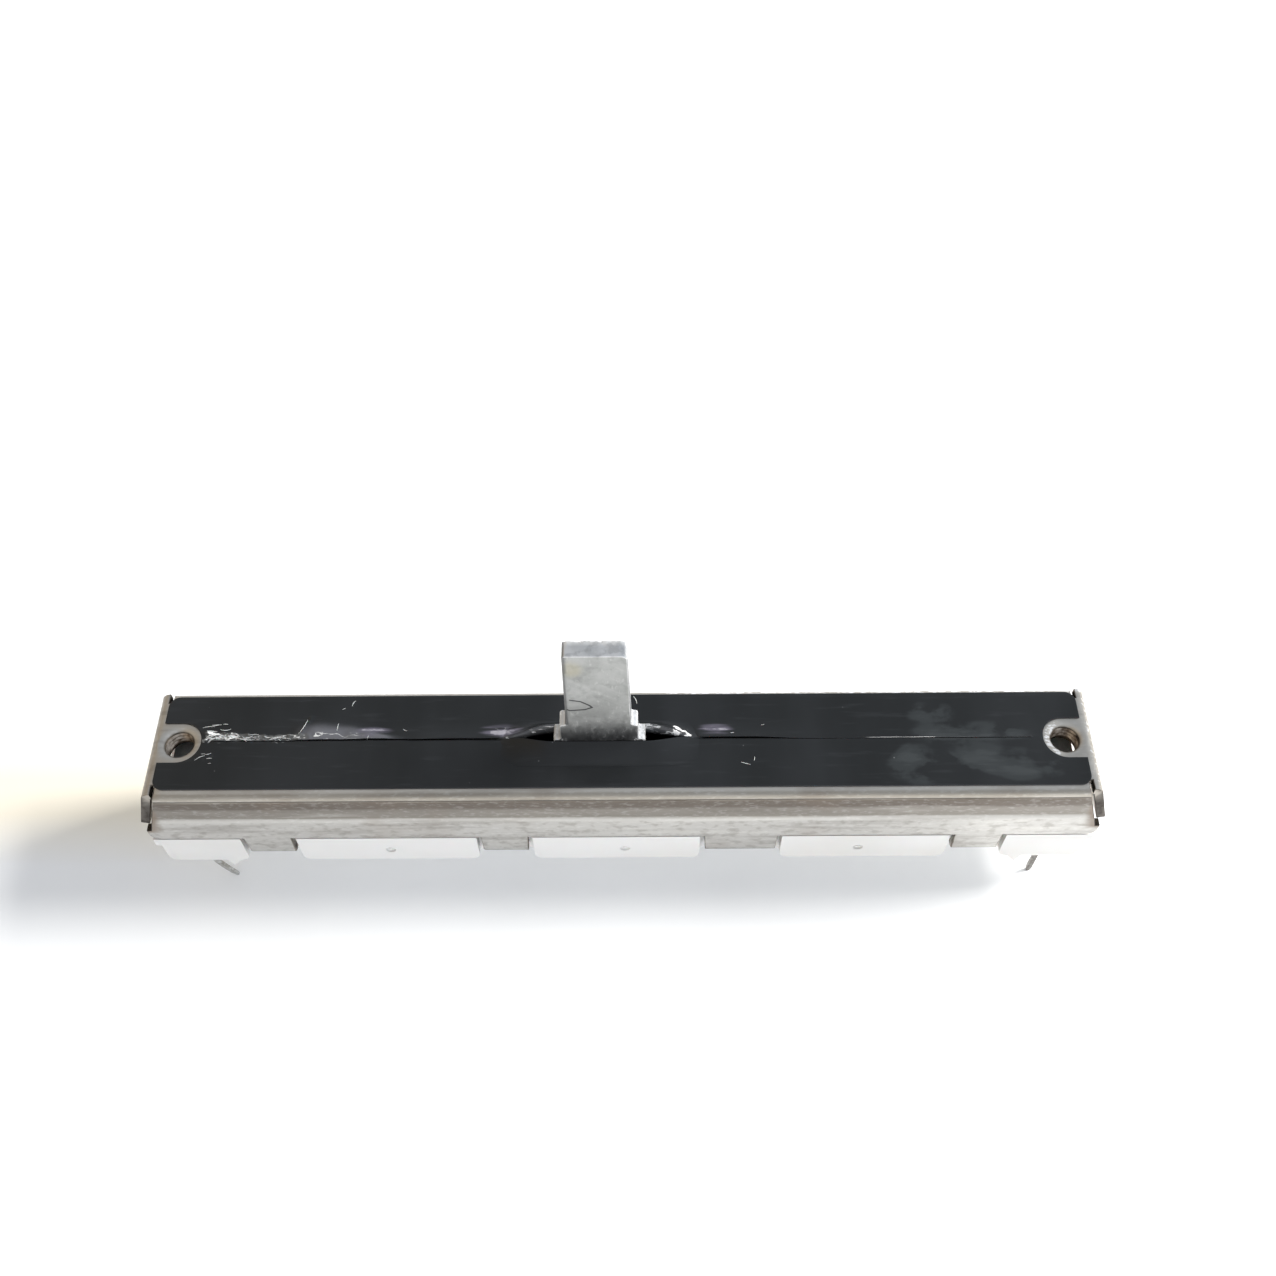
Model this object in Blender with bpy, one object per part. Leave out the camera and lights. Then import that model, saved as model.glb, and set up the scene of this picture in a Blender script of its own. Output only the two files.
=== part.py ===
"""Slide potentiometer with 60 mm of travel, standing on its solder pins with the lever up.

Units are metres and +Z is up. X runs along the travel and Y across the body. The origin lies on
the plane of the pin tips, under the middle of the body. Heights on the body are given as depths
below the top face of the frame, which is the face that a panel is screwed to.
"""
import math

import bpy
import bmesh
from mathutils import Vector
from mathutils.geometry import delaunay_2d_cdt

MM = 0.001
QUARTER_TURN = math.pi / 2

# Driving sizes of the whole part.
TRAVEL = 60.0 * MM
HOLE_PAST_TRAVEL = 10.0 * MM
LEVER_AT = -1.9 * MM
FRAME_WIDTH = 11.0 * MM
PIN_TIP_DEPTH = 17.7 * MM
SEAT_GAP = 0.1 * MM
CUT_BEYOND = 1.0 * MM

# Frame: one folded sheet.
SHEET = 0.8 * MM
BEND_RADIUS = 0.95 * MM
PLATE_PAST_HOLE = 2.4 * MM
WALL_END_GAP = 0.2 * MM
SKIRT_PAST_HOLE = 3.7 * MM
WALL_DEPTH = 8.0 * MM
JOGGLE = 0.15 * MM
JOGGLE_DEPTH = 4.3 * MM
JOGGLE_RUN = 0.5 * MM
FLAP_ABOVE_EDGE = 2.3 * MM
FLAP_FLARE = math.radians(17.0)
FLAP_SIDE_GAP = 0.25 * MM
FLAP_CORNER = 0.6 * MM
NOTCH_GAP = 0.55 * MM
SKIRT_CORNER = 0.9 * MM
CORNER_SLIT = 0.35 * MM
CORNER_RELIEF = 0.3 * MM
TAB_INSET = 7.0 * MM
TAB_WIDTH = 4.4 * MM
WIDE_TAB_WIDTH = 6.8 * MM
TAB_TAPER = 0.15 * MM
TAB_ABOVE_BOTTOM = 1.1 * MM
TAB_FOOT = 0.1 * MM
SLOT_WIDTH = 2.8 * MM
SLOT_END_ROOM = 1.6 * MM
THREAD_RADIUS = 1.3 * MM
LEAD_IN = 0.7 * MM
BURR_DEPTH = 2.2 * MM
BURR_WALL = 0.5 * MM
LEAD_IN_SHARE = 0.6
UNDERSIDE_SHARE = 0.4
BEND_STEPS = 5
BURR_STEPS = 6
HOLE_SEGMENTS = 28

# Dust seal: thin film on the plate.
FILM = 0.12 * MM
FILM_GAP = 0.04 * MM
SEAL_INSET_X = 0.8 * MM
SEAL_INSET_Y = 0.7 * MM
SEAL_CORNER = 1.0 * MM
SEAL_HOLE_ROOM = 0.05 * MM
SLIT_ROOM = 0.3 * MM
SLIT_TO_HOLE = 0.65 * MM

# Base: moulded tray under the frame.
BASE_HEIGHT = 4.4 * MM
BASE_FLOOR = 1.6 * MM
BASE_FLANGE = 1.2 * MM
BASE_FLANGE_STEP = 0.5 * MM
BASE_CORNER = 0.9 * MM
TAB_ROOM = 0.4 * MM
STANDOFF_HEIGHT = 1.2 * MM
STANDOFF_LENGTH = 1.45 * MM
STANDOFF_WIDTH = 0.6 * MM
STANDOFF_PEAK = 0.5 * MM
STANDOFF_TO_PIN = 1.9 * MM

# Board, tracks, terminals and eyelets.
BOARD_THICKNESS = 1.0 * MM
BOARD_PAST_PIN = 1.2 * MM
BOARD_TO_PIN = 0.65 * MM
BOARD_CORNER = 0.5 * MM
BOARD_ROOM = 0.15 * MM
TRACK_WIDTH = 1.7 * MM
TRACK_THICKNESS = 0.05 * MM
TRACK_GAP = 0.03 * MM
TRACK_SPACING = 1.9 * MM
TRACK_OVERRUN = 0.6 * MM
PIN_TO_FACE = 0.95 * MM
PIN_INSET = 0.2 * MM
PIN_WIDTH = 0.55 * MM
PIN_TIP_WIDTH = 0.3 * MM
PIN_THICKNESS = 0.3 * MM
PIN_LEAN = 1.5 * MM
LEAN_POWER = 1.6
LEAN_BELOW_BASE = 0.5 * MM
TERMINAL_WIDTH = 2.0 * MM
TERMINAL_BEND = 0.45 * MM
TERMINAL_ROOM = 0.15 * MM
EYELET_MARGIN = 1.5 * MM
EYELET_RADIUS = 0.55 * MM
EYELET_BORE = 0.35 * MM
EYELET_FLANGE = 0.95 * MM
EYELET_LIP = 0.15 * MM
EYELET_SEGMENTS = 20

# Guide rods and the blocks that hold them.
ROD_RADIUS = 0.9 * MM
ROD_ABOVE_EDGE = 2.3 * MM
ROD_CHAMFER = 0.2 * MM
ROD_FIT = 0.08 * MM
ROD_SEGMENTS = 24
BLOCK_ABOVE_ROD = 0.6 * MM
BLOCK_PAST_HOLE = 1.9 * MM
BLOCK_SIDE_ROOM = 0.12 * MM
STOP_ROOM = 0.4 * MM
ROD_COVER = 0.6 * MM

# Slider: lever, carriage, wiper and spring.
LEVER_HEIGHT = 15.0 * MM
LEVER_THICKNESS = 1.6 * MM
LEVER_NECK_WIDTH = 5.75 * MM
LEVER_TAPER = 0.175 * MM
LEVER_TIP_CHAMFER = 0.4 * MM
UPPER_STEP = 0.575 * MM
UPPER_STEP_HEIGHT = 4.1 * MM
LOWER_STEP = 0.65 * MM
LOWER_STEP_HEIGHT = 1.7 * MM
STEP_RADIUS = 0.35 * MM
STEP_SEGMENTS = 4
TANG_ABOVE_BOTTOM = 1.65 * MM
CARRIAGE_LENGTH = 14.0 * MM
CARRIAGE_TOP = 1.1 * MM
CARRIAGE_WALL = 0.55 * MM
CARRIAGE_SIDE_ROOM = 0.2 * MM
HUB_WALL = 1.0 * MM
HUB_END_WALL = 1.2 * MM
BEARING_LENGTH = 4.0 * MM
RUN_FIT = 0.1 * MM
PEG_RADIUS = 0.45 * MM
PEG_SPACING = 7.0 * MM
PEG_HEIGHT = 0.5 * MM
PEG_SEGMENTS = 16
WIPER_SHEET = 0.2 * MM
WIPER_PAST_PEG = 1.3 * MM
FINGER_LENGTH = 5.2 * MM
FINGER_WIDTH = 0.45 * MM
FINGER_GAP = 0.25 * MM
FINGERS = 3
FINGER_CURL = 0.7 * MM
CURL_SLOPE = 0.7
FINGER_STEPS = 8
SPRING_SHEET = 0.2 * MM
SPRING_WIDTH = 1.5 * MM
SPRING_FOOT = 1.2 * MM
SPRING_ROOM = 0.15 * MM
SPRING_STEPS = 8

# Heights and places that follow from the driving sizes.
TOP = PIN_TIP_DEPTH
HOLE_X = TRAVEL / 2 + HOLE_PAST_TRAVEL
PLATE_EDGE = FRAME_WIDTH / 2 - BEND_RADIUS
WALL_FACE = FRAME_WIDTH / 2
SKIRT_FACE = WALL_FACE + JOGGLE
FLAP_DEPTH = WALL_DEPTH - FLAP_ABOVE_EDGE
FLAP_ANGLE = QUARTER_TURN - FLAP_FLARE
FLAP_START = HOLE_X + PLATE_PAST_HOLE - BEND_RADIUS * math.tan(FLAP_ANGLE / 2)
SCREW_MOUTH = THREAD_RADIUS + LEAD_IN
BASE_TOP = WALL_DEPTH + SEAT_GAP
BASE_BOTTOM = BASE_TOP + BASE_HEIGHT
TAB_DEPTH = BASE_BOTTOM - TAB_ABOVE_BOTTOM
FLOOR_DEPTH = BASE_BOTTOM - BASE_FLOOR
BOARD_BOTTOM = FLOOR_DEPTH - SEAT_GAP
BOARD_TOP = BOARD_BOTTOM - BOARD_THICKNESS
TRACK_TOP = BOARD_TOP - TRACK_GAP - TRACK_THICKNESS
PIN_X = HOLE_X - PIN_INSET
PIN_ROW = SKIRT_FACE - PIN_TO_FACE
BOARD_HALF_WIDTH = PIN_ROW - PIN_THICKNESS / 2 - BOARD_TO_PIN
BOARD_HALF_LENGTH = PIN_X + BOARD_PAST_PIN
TRACK_ROW = (TRACK_SPACING + TRACK_WIDTH) / 2
EYELET_ROW = BOARD_HALF_WIDTH - EYELET_MARGIN
ROD_DEPTH = WALL_DEPTH - ROD_ABOVE_EDGE
SLEEVE = ROD_RADIUS + RUN_FIT + CARRIAGE_WALL
ROD_ROW = WALL_FACE - SHEET - CARRIAGE_SIDE_ROOM - SLEEVE
SHELF_DEPTH = ROD_DEPTH - SLEEVE
CARRIAGE_BOTTOM = ROD_DEPTH + SLEEVE
HUB_HALF = LEVER_THICKNESS / 2 + HUB_WALL
NECK_HALF = LEVER_NECK_WIDTH / 2
LEVER_HALF = NECK_HALF + UPPER_STEP + LOWER_STEP
TANG_DEPTH = CARRIAGE_BOTTOM - TANG_ABOVE_BOTTOM
WIPER_LENGTH = PEG_SPACING + 2 * WIPER_PAST_PEG
STOP_X = TRAVEL / 2 + CARRIAGE_LENGTH / 2 + STOP_ROOM
BLOCK_END = HOLE_X + BLOCK_PAST_HOLE
LEVER_SLOT = TRAVEL / 2 + LEVER_HALF + SLOT_END_ROOM
SEAL_HOLE = SCREW_MOUTH + SEAL_HOLE_ROOM
SEAL_SLIT = HOLE_X - SEAL_HOLE - SLIT_TO_HOLE
TAB_PITCH = 2 * (HOLE_X - TAB_INSET) / 3
TABS = ((-1.5 * TAB_PITCH, TAB_WIDTH), (-0.5 * TAB_PITCH, TAB_WIDTH),
        (0.5 * TAB_PITCH, WIDE_TAB_WIDTH), (1.5 * TAB_PITCH, TAB_WIDTH))


def clear_scene():
    """Remove whatever the file opened with."""
    for item in list(bpy.data.objects):
        bpy.data.objects.remove(item, do_unlink=True)


def material(name, colour, roughness, metallic=0.0):
    """One Principled material for one finish."""
    finish = bpy.data.materials.new(name)
    finish.use_nodes = True
    shader = finish.node_tree.nodes["Principled BSDF"]
    shader.inputs["Base Color"].default_value = (*colour, 1.0)
    shader.inputs["Roughness"].default_value = roughness
    shader.inputs["Metallic"].default_value = metallic
    return finish


def arc(centre, radius, start, end, steps):
    """Points of an arc from start to end, in radians, both ends included."""
    turns = [start + (end - start) * i / steps for i in range(steps + 1)]
    return [(centre[0] + radius * math.cos(t), centre[1] + radius * math.sin(t)) for t in turns]


def circle(centre, radius, segments):
    """A closed loop of points on a circle."""
    return arc(centre, radius, 0.0, 2 * math.pi * (segments - 1) / segments, segments - 1)


def rectangle(low, high):
    """A closed loop round a box given by two opposite corners."""
    return [(low[0], low[1]), (high[0], low[1]), (high[0], high[1]), (low[0], high[1])]


def rounded_rectangle(half_x, half_y, radius, steps=5):
    """A rectangle about the origin with round corners."""
    points = []
    for i, (sx, sy) in enumerate(((1, 1), (-1, 1), (-1, -1), (1, -1))):
        centre = (sx * (half_x - radius), sy * (half_y - radius))
        points += arc(centre, radius, i * QUARTER_TURN, (i + 1) * QUARTER_TURN, steps)
    return points


def inside(point, loops):
    """True where a point lies in an outline and in none of its holes."""
    crossings = 0
    for loop in loops:
        for (ax, ay), (bx, by) in zip(loop, loop[1:] + loop[:1]):
            if (ay > point[1]) != (by > point[1]):
                crossings += point[0] < ax + (bx - ax) * (point[1] - ay) / (by - ay)
    return crossings % 2 == 1


def flat_triangles(loops, lines=()):
    """Triangulate an outline with holes. Lines are extra edges, so that the sheet can fold there."""
    points, edges = [], []
    for loop in loops:
        first = len(points)
        points += [Vector(p) for p in loop]
        edges += [(first + i, first + (i + 1) % len(loop)) for i in range(len(loop))]
    for line in lines:
        edges.append((len(points), len(points) + 1))
        points += [Vector(p) for p in line]
    verts, _, faces, *_ = delaunay_2d_cdt(points, edges, [], 0, 1e-8)
    kept = []
    for face in faces:
        middle = sum((verts[i] for i in face), Vector((0.0, 0.0))) / len(face)
        if inside(middle, loops):
            kept.append(face)
    return verts, kept


def finish_object(name, mesh_data, finish, smooth_angle=math.radians(32)):
    """Make the object, with consistent faces and smooth shading between shallow angles."""
    bmesh.ops.recalc_face_normals(mesh_data, faces=mesh_data.faces)
    mesh = bpy.data.meshes.new(name)
    mesh_data.to_mesh(mesh)
    mesh_data.free()
    mesh.materials.append(finish)
    mesh.shade_smooth()
    mesh.set_sharp_from_angle(angle=smooth_angle)
    item = bpy.data.objects.new(name, mesh)
    bpy.context.collection.objects.link(item)
    return item


def sheet_solid(name, loops, thickness, place, finish, lines=()):
    """A flat blank with holes, given a thickness and put in place or folded by place(u, v, w)."""
    verts, faces = flat_triangles(loops, lines)
    used = sorted({i for face in faces for i in face})
    mesh_data = bmesh.new()
    near, far = {}, {}
    for i in used:
        near[i] = mesh_data.verts.new(place(verts[i].x, verts[i].y, 0.0))
        far[i] = mesh_data.verts.new(place(verts[i].x, verts[i].y, thickness))
    sides = {}
    for face in faces:
        mesh_data.faces.new([near[i] for i in face])
        mesh_data.faces.new([far[i] for i in reversed(face)])
        for a, b in zip(face, face[1:] + face[:1]):
            key = (min(a, b), max(a, b))
            sides[key] = None if key in sides else (a, b)
    for edge in sides.values():
        if edge:
            a, b = edge
            mesh_data.faces.new((near[b], near[a], far[a], far[b]))
    return finish_object(name, mesh_data, finish)


def along_x(low):
    """Place an outline drawn in Y and depth, and extrude it towards +X from low."""
    return lambda u, v, w: (low + w, u, TOP - v)


def along_y(low):
    """Place an outline drawn in X and depth, and extrude it towards +Y from low."""
    return lambda u, v, w: (u, low + w, TOP - v)


def downwards(depth):
    """Place an outline drawn in X and Y, and extrude it downwards from a depth."""
    return lambda u, v, w: (u, v, TOP - depth - w)


def turned(name, profile, segments, place, finish):
    """Turn a profile of (radius, height) about an axis. A closed ring has no point at radius 0."""
    mesh_data = bmesh.new()
    rings = []
    for radius, height in profile:
        if radius == 0.0:
            rings.append([mesh_data.verts.new(place(0.0, 0.0, height))] * segments)
            continue
        turns = [2 * math.pi * i / segments for i in range(segments)]
        rings.append([mesh_data.verts.new(place(radius * math.cos(t), radius * math.sin(t), height))
                      for t in turns])
    closed = profile[0][0] > 0.0
    pairs = zip(rings, rings[1:] + rings[:1]) if closed else zip(rings, rings[1:])
    for ring, other in pairs:
        for i in range(segments):
            j = (i + 1) % segments
            corners = [ring[i], ring[j], other[j], other[i]]
            mesh_data.faces.new(list(dict.fromkeys(corners)))
    return finish_object(name, mesh_data, finish)


def cut(target, cutter, operation="DIFFERENCE"):
    """Cut one object by another, which stays as a hidden guide."""
    cutter.hide_render = True
    cutter.display_type = "WIRE"
    modifier = target.modifiers.new(cutter.name, "BOOLEAN")
    modifier.operation = operation
    modifier.solver = "EXACT"
    modifier.object = cutter


# Frame


def bent(distance, start, radius, angle, w):
    """Where a point of a sheet lands when the sheet bends down at start. Returns (along, height)."""
    if distance <= start:
        return distance, -w
    turn = min((distance - start) / radius, angle)
    run = start + (radius - w) * math.sin(turn)
    height = -radius + (radius - w) * math.cos(turn)
    straight = max(distance - start - radius * angle, 0.0)
    return run + straight * math.cos(angle), height - straight * math.sin(angle)


def developed(depth):
    """Distance across the flat blank of a point on the side wall at this depth."""
    return PLATE_EDGE + BEND_RADIUS * QUARTER_TURN + depth - BEND_RADIUS


def fold_side(distance, w):
    """Across the frame: plate, bend, wall with its joggle, and the foot curled under the base."""
    foot_start = developed(TAB_DEPTH - BEND_RADIUS)
    if distance <= foot_start:
        across, height = bent(distance, PLATE_EDGE, BEND_RADIUS, QUARTER_TURN, w)
        share = (distance - developed(JOGGLE_DEPTH)) / JOGGLE_RUN
        return across + JOGGLE * min(max(share, 0.0), 1.0), height
    turn = min((distance - foot_start) / BEND_RADIUS, QUARTER_TURN)
    straight = max(distance - foot_start - BEND_RADIUS * QUARTER_TURN, 0.0)
    across = SKIRT_FACE - BEND_RADIUS + (BEND_RADIUS - w) * math.cos(turn) - straight
    return across, BEND_RADIUS - TAB_DEPTH - (BEND_RADIUS - w) * math.sin(turn)


def drawn_hole(radius, w):
    """Section of the drawn hole: its round lead-in and its thread wall, as (radius, height)."""
    share = (SCREW_MOUTH - radius) / SCREW_MOUTH * BURR_STEPS / (BURR_STEPS - 1)
    if w == 0.0:
        if share < LEAD_IN_SHARE:
            turn = share / LEAD_IN_SHARE * QUARTER_TURN
            return SCREW_MOUTH - LEAD_IN * math.sin(turn), -LEAD_IN * (1 - math.cos(turn))
        drop = (share - LEAD_IN_SHARE) / (1 - LEAD_IN_SHARE)
        return THREAD_RADIUS, -LEAD_IN - drop * (BURR_DEPTH - LEAD_IN)
    if share < UNDERSIDE_SHARE:
        return SCREW_MOUTH - share / UNDERSIDE_SHARE * (LEAD_IN - BURR_WALL), -SHEET
    drop = (share - UNDERSIDE_SHARE) / (1 - UNDERSIDE_SHARE)
    return THREAD_RADIUS + BURR_WALL, -SHEET - drop * (BURR_DEPTH - SHEET)


def fold_frame(u, v, w):
    """Where a point of the flat blank lands: u along, v across, w into the sheet from its outside."""
    side_u = math.copysign(1.0, u)
    side_v = math.copysign(1.0, v)
    hole = Vector((u - side_u * HOLE_X, v))
    if hole.length < SCREW_MOUTH * (1 - 0.5 / BURR_STEPS):
        radius, height = drawn_hole(hole.length, w)
        spot = hole.normalized() * radius
        return spot.x + side_u * HOLE_X, spot.y, TOP + height
    if abs(u) > FLAP_START - CORNER_SLIT / 2 and abs(v) < WALL_FACE:
        along, height = bent(abs(u), FLAP_START, BEND_RADIUS, FLAP_ANGLE, w)
        return side_u * along, v, TOP + height
    across, height = fold_side(abs(v), w)
    return u, side_v * across, TOP + height


def tab_outline(centre, width):
    """Edge of one clinch tab of the blank, from left to right, outwards from the wall's bottom edge."""
    root = developed(WALL_DEPTH)
    tip = developed(TAB_DEPTH - BEND_RADIUS) + BEND_RADIUS * QUARTER_TURN + TAB_FOOT
    half, tip_half = width / 2, width / 2 - TAB_TAPER
    return [(centre - half, root), (centre - tip_half, tip), (centre + tip_half, tip),
            (centre + half, root)]


def wall_end(depth):
    """End of the side wall at a depth: it slopes with the end flap and leaves a narrow gap to it."""
    flap_inside = HOLE_X + PLATE_PAST_HOLE - SHEET / math.cos(FLAP_FLARE) + depth * math.tan(FLAP_FLARE)
    return flap_inside - WALL_END_GAP


def side_outline():
    """Edge of the blank round one side, from its left flap to its right one, on the +v side."""
    skirt_end = HOLE_X + SKIRT_PAST_HOLE
    skirt_top = FLAP_DEPTH + NOTCH_GAP
    root = developed(WALL_DEPTH)
    corner = skirt_end - SKIRT_CORNER, root - SKIRT_CORNER
    end = [(FLAP_START, PLATE_EDGE - CORNER_RELIEF),
           (FLAP_START - CORNER_SLIT, PLATE_EDGE - CORNER_RELIEF),
           (FLAP_START - CORNER_SLIT, PLATE_EDGE + BEND_RADIUS / 2),
           (wall_end(BEND_RADIUS), developed(BEND_RADIUS)),
           (wall_end(skirt_top), developed(skirt_top)),
           (skirt_end, developed(skirt_top))]
    end += arc(corner, SKIRT_CORNER, 0.0, QUARTER_TURN, 5)
    left = [(-u, v) for u, v in end]
    tabs = [point for tab in TABS for point in tab_outline(*tab)]
    return left + tabs + end[::-1]


def flap_outline():
    """Edge of the right end flap of the blank, from its +v root round its tip to its -v root."""
    straight = (FLAP_DEPTH - BEND_RADIUS * (1 - math.cos(FLAP_ANGLE))) / math.sin(FLAP_ANGLE)
    tip = FLAP_START + BEND_RADIUS * FLAP_ANGLE + straight
    half = WALL_FACE - FLAP_SIDE_GAP
    edge = [(FLAP_START, half)]
    edge += arc((tip - FLAP_CORNER, half - FLAP_CORNER), FLAP_CORNER, QUARTER_TURN, 0.0, 5)
    return edge + [(u, -v) for u, v in reversed(edge)]


def fold_lines():
    """Lines across the blank at which the sheet turns."""
    reach = HOLE_X + SKIRT_PAST_HOLE + SHEET
    lines = []
    levels = [developed(JOGGLE_DEPTH), developed(JOGGLE_DEPTH + JOGGLE_RUN)]
    levels += [PLATE_EDGE + BEND_RADIUS * QUARTER_TURN * i / BEND_STEPS for i in range(BEND_STEPS + 1)]
    foot = developed(TAB_DEPTH - BEND_RADIUS)
    levels += [foot + BEND_RADIUS * QUARTER_TURN * i / BEND_STEPS for i in range(BEND_STEPS + 1)]
    for v in levels:
        half = FLAP_START - CORNER_SLIT if v < developed(BEND_RADIUS) - SHEET / 10 else reach
        lines += [((-half, v), (half, v)), ((-half, -v), (half, -v))]
    for i in range(BEND_STEPS + 1):
        u = FLAP_START + BEND_RADIUS * FLAP_ANGLE * i / BEND_STEPS
        half = WALL_FACE - FLAP_SIDE_GAP / 2
        lines += [((u, -half), (u, half)), ((-u, -half), (-u, half))]
    return lines


def hole_rings(x):
    """Rings of the blank round a screw hole, as closed loops, the pierced edge first."""
    return [circle((x, 0.0), SCREW_MOUTH * (i + 1) / BURR_STEPS, HOLE_SEGMENTS)
            for i in range(BURR_STEPS)]


def make_frame(finish):
    """One sheet, cut flat and folded: plate, sides, end flaps, drawn holes and clinch tabs."""
    side, flap = side_outline(), flap_outline()
    outline = side + flap
    outline += [(u, -v) for u, v in reversed(side)] + [(-u, -v) for u, v in flap]
    slot = rectangle((-LEVER_SLOT, -SLOT_WIDTH / 2), (LEVER_SLOT, SLOT_WIDTH / 2))
    loops, lines = [outline, slot], fold_lines()
    for x in (-HOLE_X, HOLE_X):
        pierced, *rings = hole_rings(x)
        loops.append(pierced)
        lines += [(a, b) for ring in rings for a, b in zip(ring, ring[1:] + ring[:1])]
    return sheet_solid("frame", loops, SHEET, fold_frame, finish, lines)


def make_dust_seal(finish):
    """Film with a lengthwise slit and a U cut-out, open to the end, round each screw hole."""
    half_x = HOLE_X + PLATE_PAST_HOLE - SEAL_INSET_X
    half_y = WALL_FACE - SEAL_INSET_Y
    corner = (half_x - SEAL_CORNER, half_y - SEAL_CORNER)
    end = arc((HOLE_X, 0.0), SEAL_HOLE, math.pi, QUARTER_TURN, 10)
    end += [(half_x, SEAL_HOLE)] + arc(corner, SEAL_CORNER, 0.0, QUARTER_TURN, 5)
    end_below = [(x, -y) for x, y in reversed(end[1:])]
    right = end_below + end
    outline = right + [(-x, -y) for x, y in right]
    slit_half = LEVER_THICKNESS / 2 + SLIT_ROOM
    slit = rectangle((-SEAL_SLIT, -slit_half), (SEAL_SLIT, slit_half))
    top = -FILM_GAP - FILM
    return sheet_solid("dust_seal", [outline, slit], FILM, downwards(top), finish)


# Base, board and terminals


def base_side_outline():
    """Side view of the base: a flange along the top of each end and round lower corners."""
    flange_x = HOLE_X + SKIRT_PAST_HOLE
    body_x = flange_x - BASE_FLANGE_STEP
    corner = (body_x - BASE_CORNER, BASE_BOTTOM - BASE_CORNER)
    right = [(flange_x, BASE_TOP), (flange_x, BASE_TOP + BASE_FLANGE), (body_x, BASE_TOP + BASE_FLANGE)]
    right += arc(corner, BASE_CORNER, 0.0, QUARTER_TURN, 5)
    return right + [(-x, depth) for x, depth in reversed(right)]


def recess_outline(centre, width):
    """Side view of a tab's recess, which widens with a round corner at the bottom edge."""
    half = width / 2 + TAB_ROOM
    above, below = BASE_TOP - CUT_BEYOND, BASE_BOTTOM + CUT_BEYOND
    corner = (centre + half + BASE_CORNER, BASE_BOTTOM - BASE_CORNER)
    right = [(centre + half, above)] + arc(corner, BASE_CORNER, math.pi, QUARTER_TURN, 5)
    right.append((centre + half + BASE_CORNER, below))
    return right + [(2 * centre - x, depth) for x, depth in reversed(right)]


def pocket(name, low, high, finish):
    """A box cutter between two corners, given as X, Y and depth."""
    outline = rectangle(low[:2], high[:2])
    return sheet_solid(name, [outline], high[2] - low[2], downwards(low[2]), finish)


def make_base(finish):
    """Tray for the board, with recesses for the tabs, slots for the pins and small standoffs."""
    base = sheet_solid("base", [base_side_outline()], 2 * SKIRT_FACE, along_y(-SKIRT_FACE), finish)
    half_x = BOARD_HALF_LENGTH + BOARD_ROOM
    half_y = BOARD_HALF_WIDTH + BOARD_ROOM
    cut(base, pocket("cut_tray", (-half_x, -half_y, BASE_TOP - CUT_BEYOND),
                     (half_x, half_y, FLOOR_DEPTH), finish))
    wall_y = SKIRT_FACE - SHEET - SEAT_GAP
    foot_y = SKIRT_FACE - BEND_RADIUS - TAB_FOOT - SEAT_GAP
    foot_top = TAB_DEPTH - SHEET - SEAT_GAP
    for side, name in ((-1, "front"), (1, "rear")):
        for i, (centre, width) in enumerate(TABS):
            low = min(side * wall_y, side * (SKIRT_FACE + CUT_BEYOND))
            depth = SKIRT_FACE + CUT_BEYOND - wall_y
            cut(base, sheet_solid(f"cut_tab_{name}_{i}", [recess_outline(centre, width)], depth,
                                  along_y(low), finish))
            half = width / 2 + TAB_ROOM / 2
            reach = sorted((side * foot_y, side * (wall_y + SEAT_GAP)))
            cut(base, pocket(f"cut_foot_{name}_{i}", (centre - half, reach[0], foot_top),
                             (centre + half, reach[1], BASE_BOTTOM + CUT_BEYOND), finish))
        for end, end_name in ((-1, "left"), (1, "right")):
            cut_terminal_room(base, end, side, f"{end_name}_{name}", finish)
    return base


def cut_terminal_room(base, end, side, name, finish):
    """Room in the base for one terminal: beside the board, through the floor, and under the eyelet."""
    x = end * PIN_X
    half = TERMINAL_WIDTH / 2 + TERMINAL_ROOM
    inner = BOARD_HALF_WIDTH
    outer = PIN_ROW + PIN_THICKNESS / 2 + TERMINAL_ROOM
    reach = sorted((side * inner, side * outer))
    cut(base, pocket(f"cut_strip_{name}", (x - half, reach[0], BASE_TOP - CUT_BEYOND),
                     (x + half, reach[1], FLOOR_DEPTH), finish))
    half = PIN_WIDTH / 2 + TERMINAL_ROOM
    reach = sorted((side * (PIN_ROW - PIN_THICKNESS / 2 - TERMINAL_ROOM), side * outer))
    cut(base, pocket(f"cut_pin_{name}", (x - half, reach[0], FLOOR_DEPTH - SEAT_GAP),
                     (x + half, reach[1], BASE_BOTTOM + CUT_BEYOND), finish))
    rim = circle((x, side * EYELET_ROW), EYELET_FLANGE + TERMINAL_ROOM, EYELET_SEGMENTS)
    cut(base, sheet_solid(f"cut_eyelet_{name}", [rim], EYELET_LIP + 2 * SEAT_GAP + CUT_BEYOND,
                          downwards(FLOOR_DEPTH - CUT_BEYOND), finish))
    near = x - end * STANDOFF_TO_PIN
    foot = [(near, BASE_BOTTOM - SEAT_GAP), (near - end * STANDOFF_LENGTH, BASE_BOTTOM - SEAT_GAP),
            (near - end * STANDOFF_PEAK, BASE_BOTTOM + STANDOFF_HEIGHT)]
    low = min(side * SKIRT_FACE, side * (SKIRT_FACE - STANDOFF_WIDTH))
    cut(base, sheet_solid(f"add_standoff_{name}", [foot], STANDOFF_WIDTH, along_y(low), finish),
        "UNION")


def make_board(finish):
    """Board with a hole for each eyelet."""
    outline = rounded_rectangle(BOARD_HALF_LENGTH, BOARD_HALF_WIDTH, BOARD_CORNER, 3)
    holes = [circle((x, y), EYELET_RADIUS + SEAT_GAP, EYELET_SEGMENTS)
             for x in (-PIN_X, PIN_X) for y in (-EYELET_ROW, EYELET_ROW)]
    return sheet_solid("resistor_board", [outline] + holes, BOARD_THICKNESS, downwards(BOARD_TOP), finish)


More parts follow.
